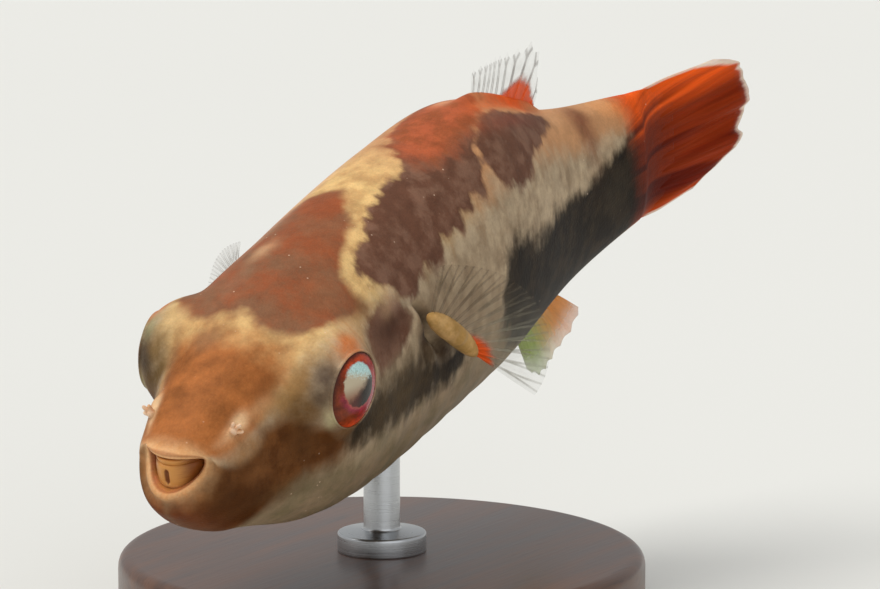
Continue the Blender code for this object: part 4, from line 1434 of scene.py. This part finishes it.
@shared_group(
    "Tail red", {"Place": VECTOR, "Orange": COLOUR, "Red": COLOUR, "Dark": COLOUR},
    {"Colour": COLOUR, "Streak": NUMBER},
)
def tail_red_group(helper, start, end):
    """Colour of the tail and its root: orange above, with dark red streaks below."""
    _, along, height = helper.split(start["Place"])
    up = helper.times(height, 0.118)
    fan = helper.math("DIVIDE", helper.times(height, 45.0), helper.minus(along, 55.0))
    rays = helper.join(fan, helper.times(along, 0.035))
    streak = helper.noise(rays, 0.5, 3.0, 0.5)
    fine = helper.noise(rays, 1.6, 3.0, 0.6)
    low = helper.step(helper.plus(up, helper.scale(streak, 2.0, -1.0)), 0.95, 0.3)
    low = helper.times(low, helper.step(up, -1.0, -0.8, 0.45, 1.0))
    tint = helper.mix(low, start["Orange"], start["Red"])
    dark = helper.times(helper.step(streak, 0.46, 0.6), helper.step(up, 0.85, 0.35))
    tint = helper.mix(helper.times(dark, low), tint, start["Dark"])
    near = helper.step(along, 114.0, 99.0)
    dim = helper.times(near, helper.scale(low, 0.36, 0.3))
    bright = helper.times(helper.minus(1.4, dim), helper.scale(fine, 0.9, 0.55))
    helper.feed(end["Colour"], helper.brighten(tint, bright))
    helper.feed(end["Streak"], fine)


def tail_red(helper, settings):
    """The colour and the streaks of the tail, placed in a material."""
    return helper.group(
        tail_red_group(), Place=helper.read("straight", "Vector"), Orange=settings.tail_orange,
        Red=settings.tail_red, Dark=settings.tail_dark,
    )


def tail_fin_material(settings):
    """Orange rays over dark red folds, with a pale rim and a white upper corner."""
    material, helper = new_material(
        "Tail fin", Specular_IOR_Level=0.04, Subsurface_Weight=0.1,
        Subsurface_Radius=(1.0, 0.3, 0.1), Subsurface_Scale=0.4 * MM,
    )
    out, across = helper.read("out"), helper.read("across")
    red = tail_red(helper, bpy.context.scene.puffer_skin)
    streak = red["Streak"]
    tips = helper.step(helper.scale(streak, 0.06, out), 0.985, 1.03)
    corner = helper.scale(streak, 0.2, helper.scale(out, 1.1, across))
    sides = helper.step(helper.math("ABSOLUTE", across), 0.955, 0.985, 0.0, 0.8)
    sides = helper.times(sides, helper.step(out, 0.2, 0.35))
    pale = helper.larger(helper.larger(tips, helper.step(corner, 1.86, 2.0)), sides)
    helper.surface(
        Base_Color=helper.mix(pale, red["Colour"], settings.tail_edge),
        Roughness=helper.scale(streak, 0.2, 0.42), Alpha=helper.step(out, 0.9, 1.0, 1.0, 0.8),
        Normal=helper.bump(streak, 0.08 * MM),
    )
    return material


def add_tail_fin(settings):
    """The half-closed tail fin."""
    add_fin(
        "caudal_fin", "tail_fin", tail_centre, TAIL_RAYS, TAIL_GRID, settings.membrane,
        tail_fin_material(settings),
    )


def add_clear_fins(settings):
    """Dorsal, anal and both pectoral fins."""
    ember, grey, brown = settings.ember, settings.clear, settings.ray_brown
    moss, glow = settings.moss, settings.moss_orange
    dorsal = clear_fin_material("Dorsal fin", (brown, brown, ember), (0.06, 0.66), 0.06, 0.75)
    anal = clear_fin_material("Anal fin", (moss, glow, glow), (0.0, 0.3), 0.74, 0.9)
    side_fin = clear_fin_material("Pectoral fin", (brown, grey, ember), (0.0, 0.42), 0.1, 0.6)
    dorsal_centre = midline_centre(DORSAL_ROOT, DORSAL_TIPS, BACK, DORSAL_RAYS[0], 0.14)
    anal_centre = midline_centre(ANAL_ROOT, ANAL_TIPS, BELLY, ANAL_RAYS[0], 0.05)
    for node, centre, rays, grid, material in (
        ("dorsal_fin", dorsal_centre, DORSAL_RAYS, DORSAL_GRID, dorsal),
        ("anal_fin", anal_centre, ANAL_RAYS, ANAL_GRID, anal),
        ("pectoral_fin_left", pectoral_centre(1), PECTORAL_RAYS, PECTORAL_GRID, side_fin),
        ("pectoral_fin_right", pectoral_centre(-1), PECTORAL_RAYS, PECTORAL_GRID, side_fin),
    ):
        add_fin(node, "clear_fin", centre, rays, grid, settings.membrane, material)


# ------------------------------------------------------------------ stand and stage


def turned_piece(name, profile, segments):
    """A turned piece about the stand's upright axis, in metres."""
    rings = turned_rings(profile, segments, np.zeros(3), (0, 0, 1), (1, 0, 0))
    return loft_object(name, rings)


def rounded_profile(corners, radius, steps):
    """A (radius, height) profile with its inner corners rounded, as a list."""
    result = [corners[0]]
    for before, corner, after in zip(corners, corners[1:], corners[2:], strict=False):
        corner = np.array(corner)
        start = corner + unit(np.array(before) - corner) * radius
        end = corner + unit(np.array(after) - corner) * radius
        for t in np.linspace(0, 1, steps):
            result.append(tuple((1 - t) ** 2 * start + 2 * t * (1 - t) * corner + t**2 * end))
    result.append(corners[-1])
    return result


def add_stand(settings):
    """The turned wooden base and the steel rod with its foot."""
    low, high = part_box("stand_base")
    radius, top = (high.x - low.x) / 2, high.z
    axis = 0.01 * MM
    edge = 0.7 * MM
    corners = [(axis, top), (radius, top), (radius, 0), (axis, 0)]
    base = turned_piece("stand_base_turned", rounded_profile(corners, edge, 8), 160)
    finish_piece(base, "stand_base", slot="stand_wood", material=wood_material(settings))

    rod_low, rod_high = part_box("stand_rod")
    foot = (rod_high.x - rod_low.x) / 2
    stem, step = 0.9 * MM, 0.8 * MM
    corners = [
        (axis, rod_high.z), (stem, rod_high.z), (stem, top + step + 0.3 * MM),
        (foot, top + step + 0.15 * MM), (foot, top - 0.05 * MM), (axis, top - 0.05 * MM),
    ]
    rod = turned_piece("stand_rod_turned", rounded_profile(corners, 0.14 * MM, 5), 96)
    finish_piece(rod, "stand_rod", slot="stand_steel", material=steel_material())


def wood_material(settings):
    """Dark walnut with long grain and fine pores."""
    material, helper = new_material("Walnut", Coat_Weight=0.35, Coat_Roughness=0.22)
    place = helper.add("ShaderNodeTexCoord").outputs["Object"]
    warp = helper.noise(helper.stretch(place, (160, 40, 160)), 1.0, 3.0)
    inputs = {0: helper.stretch(place, (420, 30, 420)), 1: helper.join(warp)}
    shifted = helper.add("ShaderNodeVectorMath", inputs, operation="ADD").outputs[0]
    grain = helper.noise(shifted, 2.2, 6.0, 0.6)
    pores = helper.noise(helper.stretch(place, (3800, 260, 3800)), 1.0, 3.0, 0.7)
    colour = helper.mix(helper.step(grain, 0.3, 0.7), tone(64, 38, 24), settings.walnut)
    colour = helper.mix(helper.step(pores, 0.62, 0.72, 0.0, 0.5), colour, tone(38, 22, 14))
    helper.surface(
        Base_Color=colour, Roughness=helper.scale(grain, 0.2, 0.32),
        Normal=helper.bump(pores, 0.04 * MM, 0.5),
    )
    return material


def steel_material():
    """Brushed steel, with fine lines round the rod."""
    material, helper = new_material("Brushed steel", Metallic=1.0)
    place = helper.add("ShaderNodeTexCoord").outputs["Object"]
    lines = helper.noise(helper.stretch(place, (300, 300, 26000)), 1.0, 2.0)
    helper.surface(
        Base_Color=helper.mix(lines, tone(176, 178, 180), tone(206, 208, 210)),
        Roughness=helper.scale(lines, 0.2, 0.2), Normal=helper.bump(lines, 0.01 * MM, 0.5),
    )
    return material


def add_soft_light(name, aim, softness, strength, colour):
    """A broad, even light that shines one way; softness is how wide it looks."""
    lamp = bpy.data.lights.new(name, "SUN")
    lamp.angle = softness
    lamp.energy = strength
    lamp.color = colour
    light = bpy.data.objects.new(name, lamp)
    bpy.context.scene.collection.objects.link(light)
    light.location = -aim
    light.rotation_mode = "QUATERNION"
    light.rotation_quaternion = aim.to_track_quat("-Z", "Y")


def add_stage(settings):
    """Camera, floor, soft lights and a pale surround."""
    scene = bpy.context.scene
    camera = bpy.data.objects.new("Camera", bpy.data.cameras.new("Camera"))
    scene.collection.objects.link(camera)
    camera.data.lens = CAMERA_LENS
    camera.data.clip_start = MM
    level = math.cos(CAMERA_RISE)
    back = Vector((
        math.sin(CAMERA_BEARING) * level, -math.cos(CAMERA_BEARING) * level, math.sin(CAMERA_RISE),
    ))
    camera.location = CAMERA_TARGET + back * CAMERA_DISTANCE
    camera.rotation_mode = "QUATERNION"
    camera.rotation_quaternion = (-back).to_track_quat("-Z", "Y")
    scene.camera = camera

    size = FLOOR_HALF_SIZE
    corners = [(-size, -size, 0), (size, -size, 0), (size, size, 0), (-size, size, 0)]
    floor = loose_object("floor", corners, [(0, 1, 2, 3)])
    material, helper = new_material("Studio floor", Specular_IOR_Level=0.2)
    cloud = helper.noise(helper.add("ShaderNodeTexCoord").outputs["Object"], 6.0, 3.0)
    helper.surface(
        Base_Color=helper.mix(cloud, settings.floor, tuple(0.96 * c for c in settings.floor)),
        Roughness=helper.scale(cloud, 0.1, 0.7),
    )
    floor.data.materials.append(material)

    key, fill = Vector((0.35, 0.4, -0.95)), Vector((-0.8, 0.5, -0.35))
    add_soft_light("Key light", key, math.radians(45), settings.key_power, (1, 0.97, 0.93))
    add_soft_light("Fill light", fill, math.radians(60), settings.fill_power, (0.95, 0.97, 1))
    world = bpy.data.worlds.new("Studio")
    world.use_nodes = True
    background = world.node_tree.nodes["Background"]
    background.inputs["Color"].default_value = (0.93, 0.95, 0.96, 1)
    background.inputs["Strength"].default_value = 0.55
    scene.world = world
    scene.view_settings.view_transform = "Standard"


# ------------------------------------------------------------------ operators and panel


class PUFFER_OT_skin(bpy.types.Operator):
    """Make the one skin of head, trunk and tail"""

    bl_idname = "puffer.skin"
    bl_label = "Skin"

    def execute(self, context):
        add_skin(context.scene.puffer_skin)
        return {"FINISHED"}


class PUFFER_OT_eyes(bpy.types.Operator):
    """Make both eyes"""

    bl_idname = "puffer.eyes"
    bl_label = "Eyes"

    def execute(self, context):
        add_eyes(context.scene.puffer_eyes)
        return {"FINISHED"}


class PUFFER_OT_beak(bpy.types.Operator):
    """Make the two tooth plates"""

    bl_idname = "puffer.beak"
    bl_label = "Beak"

    def execute(self, context):
        add_beak(context.scene.puffer_eyes)
        return {"FINISHED"}


class PUFFER_OT_tail_fin(bpy.types.Operator):
    """Make the red tail fin"""

    bl_idname = "puffer.tail_fin"
    bl_label = "Tail Fin"

    def execute(self, context):
        add_tail_fin(context.scene.puffer_fins)
        return {"FINISHED"}


class PUFFER_OT_clear_fins(bpy.types.Operator):
    """Make the dorsal, anal and pectoral fins"""

    bl_idname = "puffer.clear_fins"
    bl_label = "Clear Fins"

    def execute(self, context):
        add_clear_fins(context.scene.puffer_fins)
        return {"FINISHED"}


class PUFFER_OT_stand(bpy.types.Operator):
    """Make the wooden base and the steel rod"""

    bl_idname = "puffer.stand"
    bl_label = "Stand"

    def execute(self, context):
        add_stand(context.scene.puffer_stage)
        return {"FINISHED"}


class PUFFER_OT_stage(bpy.types.Operator):
    """Make the camera, floor and lights"""

    bl_idname = "puffer.stage"
    bl_label = "Stage"

    def execute(self, context):
        add_stage(context.scene.puffer_stage)
        return {"FINISHED"}


OPERATORS = (
    PUFFER_OT_stage,
    PUFFER_OT_skin,
    PUFFER_OT_eyes,
    PUFFER_OT_beak,
    PUFFER_OT_tail_fin,
    PUFFER_OT_clear_fins,
    PUFFER_OT_stand,
)
SETTINGS = {
    "puffer_skin": PufferSkinSettings,
    "puffer_fins": PufferFinSettings,
    "puffer_eyes": PufferEyeSettings,
    "puffer_stage": PufferStageSettings,
}


class PUFFER_PT_panel(bpy.types.Panel):
    """Pieces of the pufferfish and their settings"""

    bl_label = "Pufferfish"
    bl_idname = "PUFFER_PT_panel"
    bl_space_type = "VIEW_3D"
    bl_region_type = "UI"
    bl_category = "Pufferfish"

    def draw(self, context):
        for operator in OPERATORS:
            self.layout.operator(operator.bl_idname)
        for name, group in SETTINGS.items():
            box = self.layout.box()
            for setting in group.__annotations__:
                box.prop(getattr(context.scene, name), setting)


def register():
    for group in (*SETTINGS.values(), *OPERATORS, PUFFER_PT_panel):
        bpy.utils.register_class(group)
    for name, group in SETTINGS.items():
        setattr(bpy.types.Scene, name, PointerProperty(type=group))


def unregister():
    for name in SETTINGS:
        delattr(bpy.types.Scene, name)
    for group in (PUFFER_PT_panel, *reversed(OPERATORS), *SETTINGS.values()):
        bpy.utils.unregister_class(group)


def main():
    register()
    for operator in OPERATORS:
        family, name = operator.bl_idname.split(".")
        getattr(getattr(bpy.ops, family), name)()


if __name__ == "__main__":
    main()
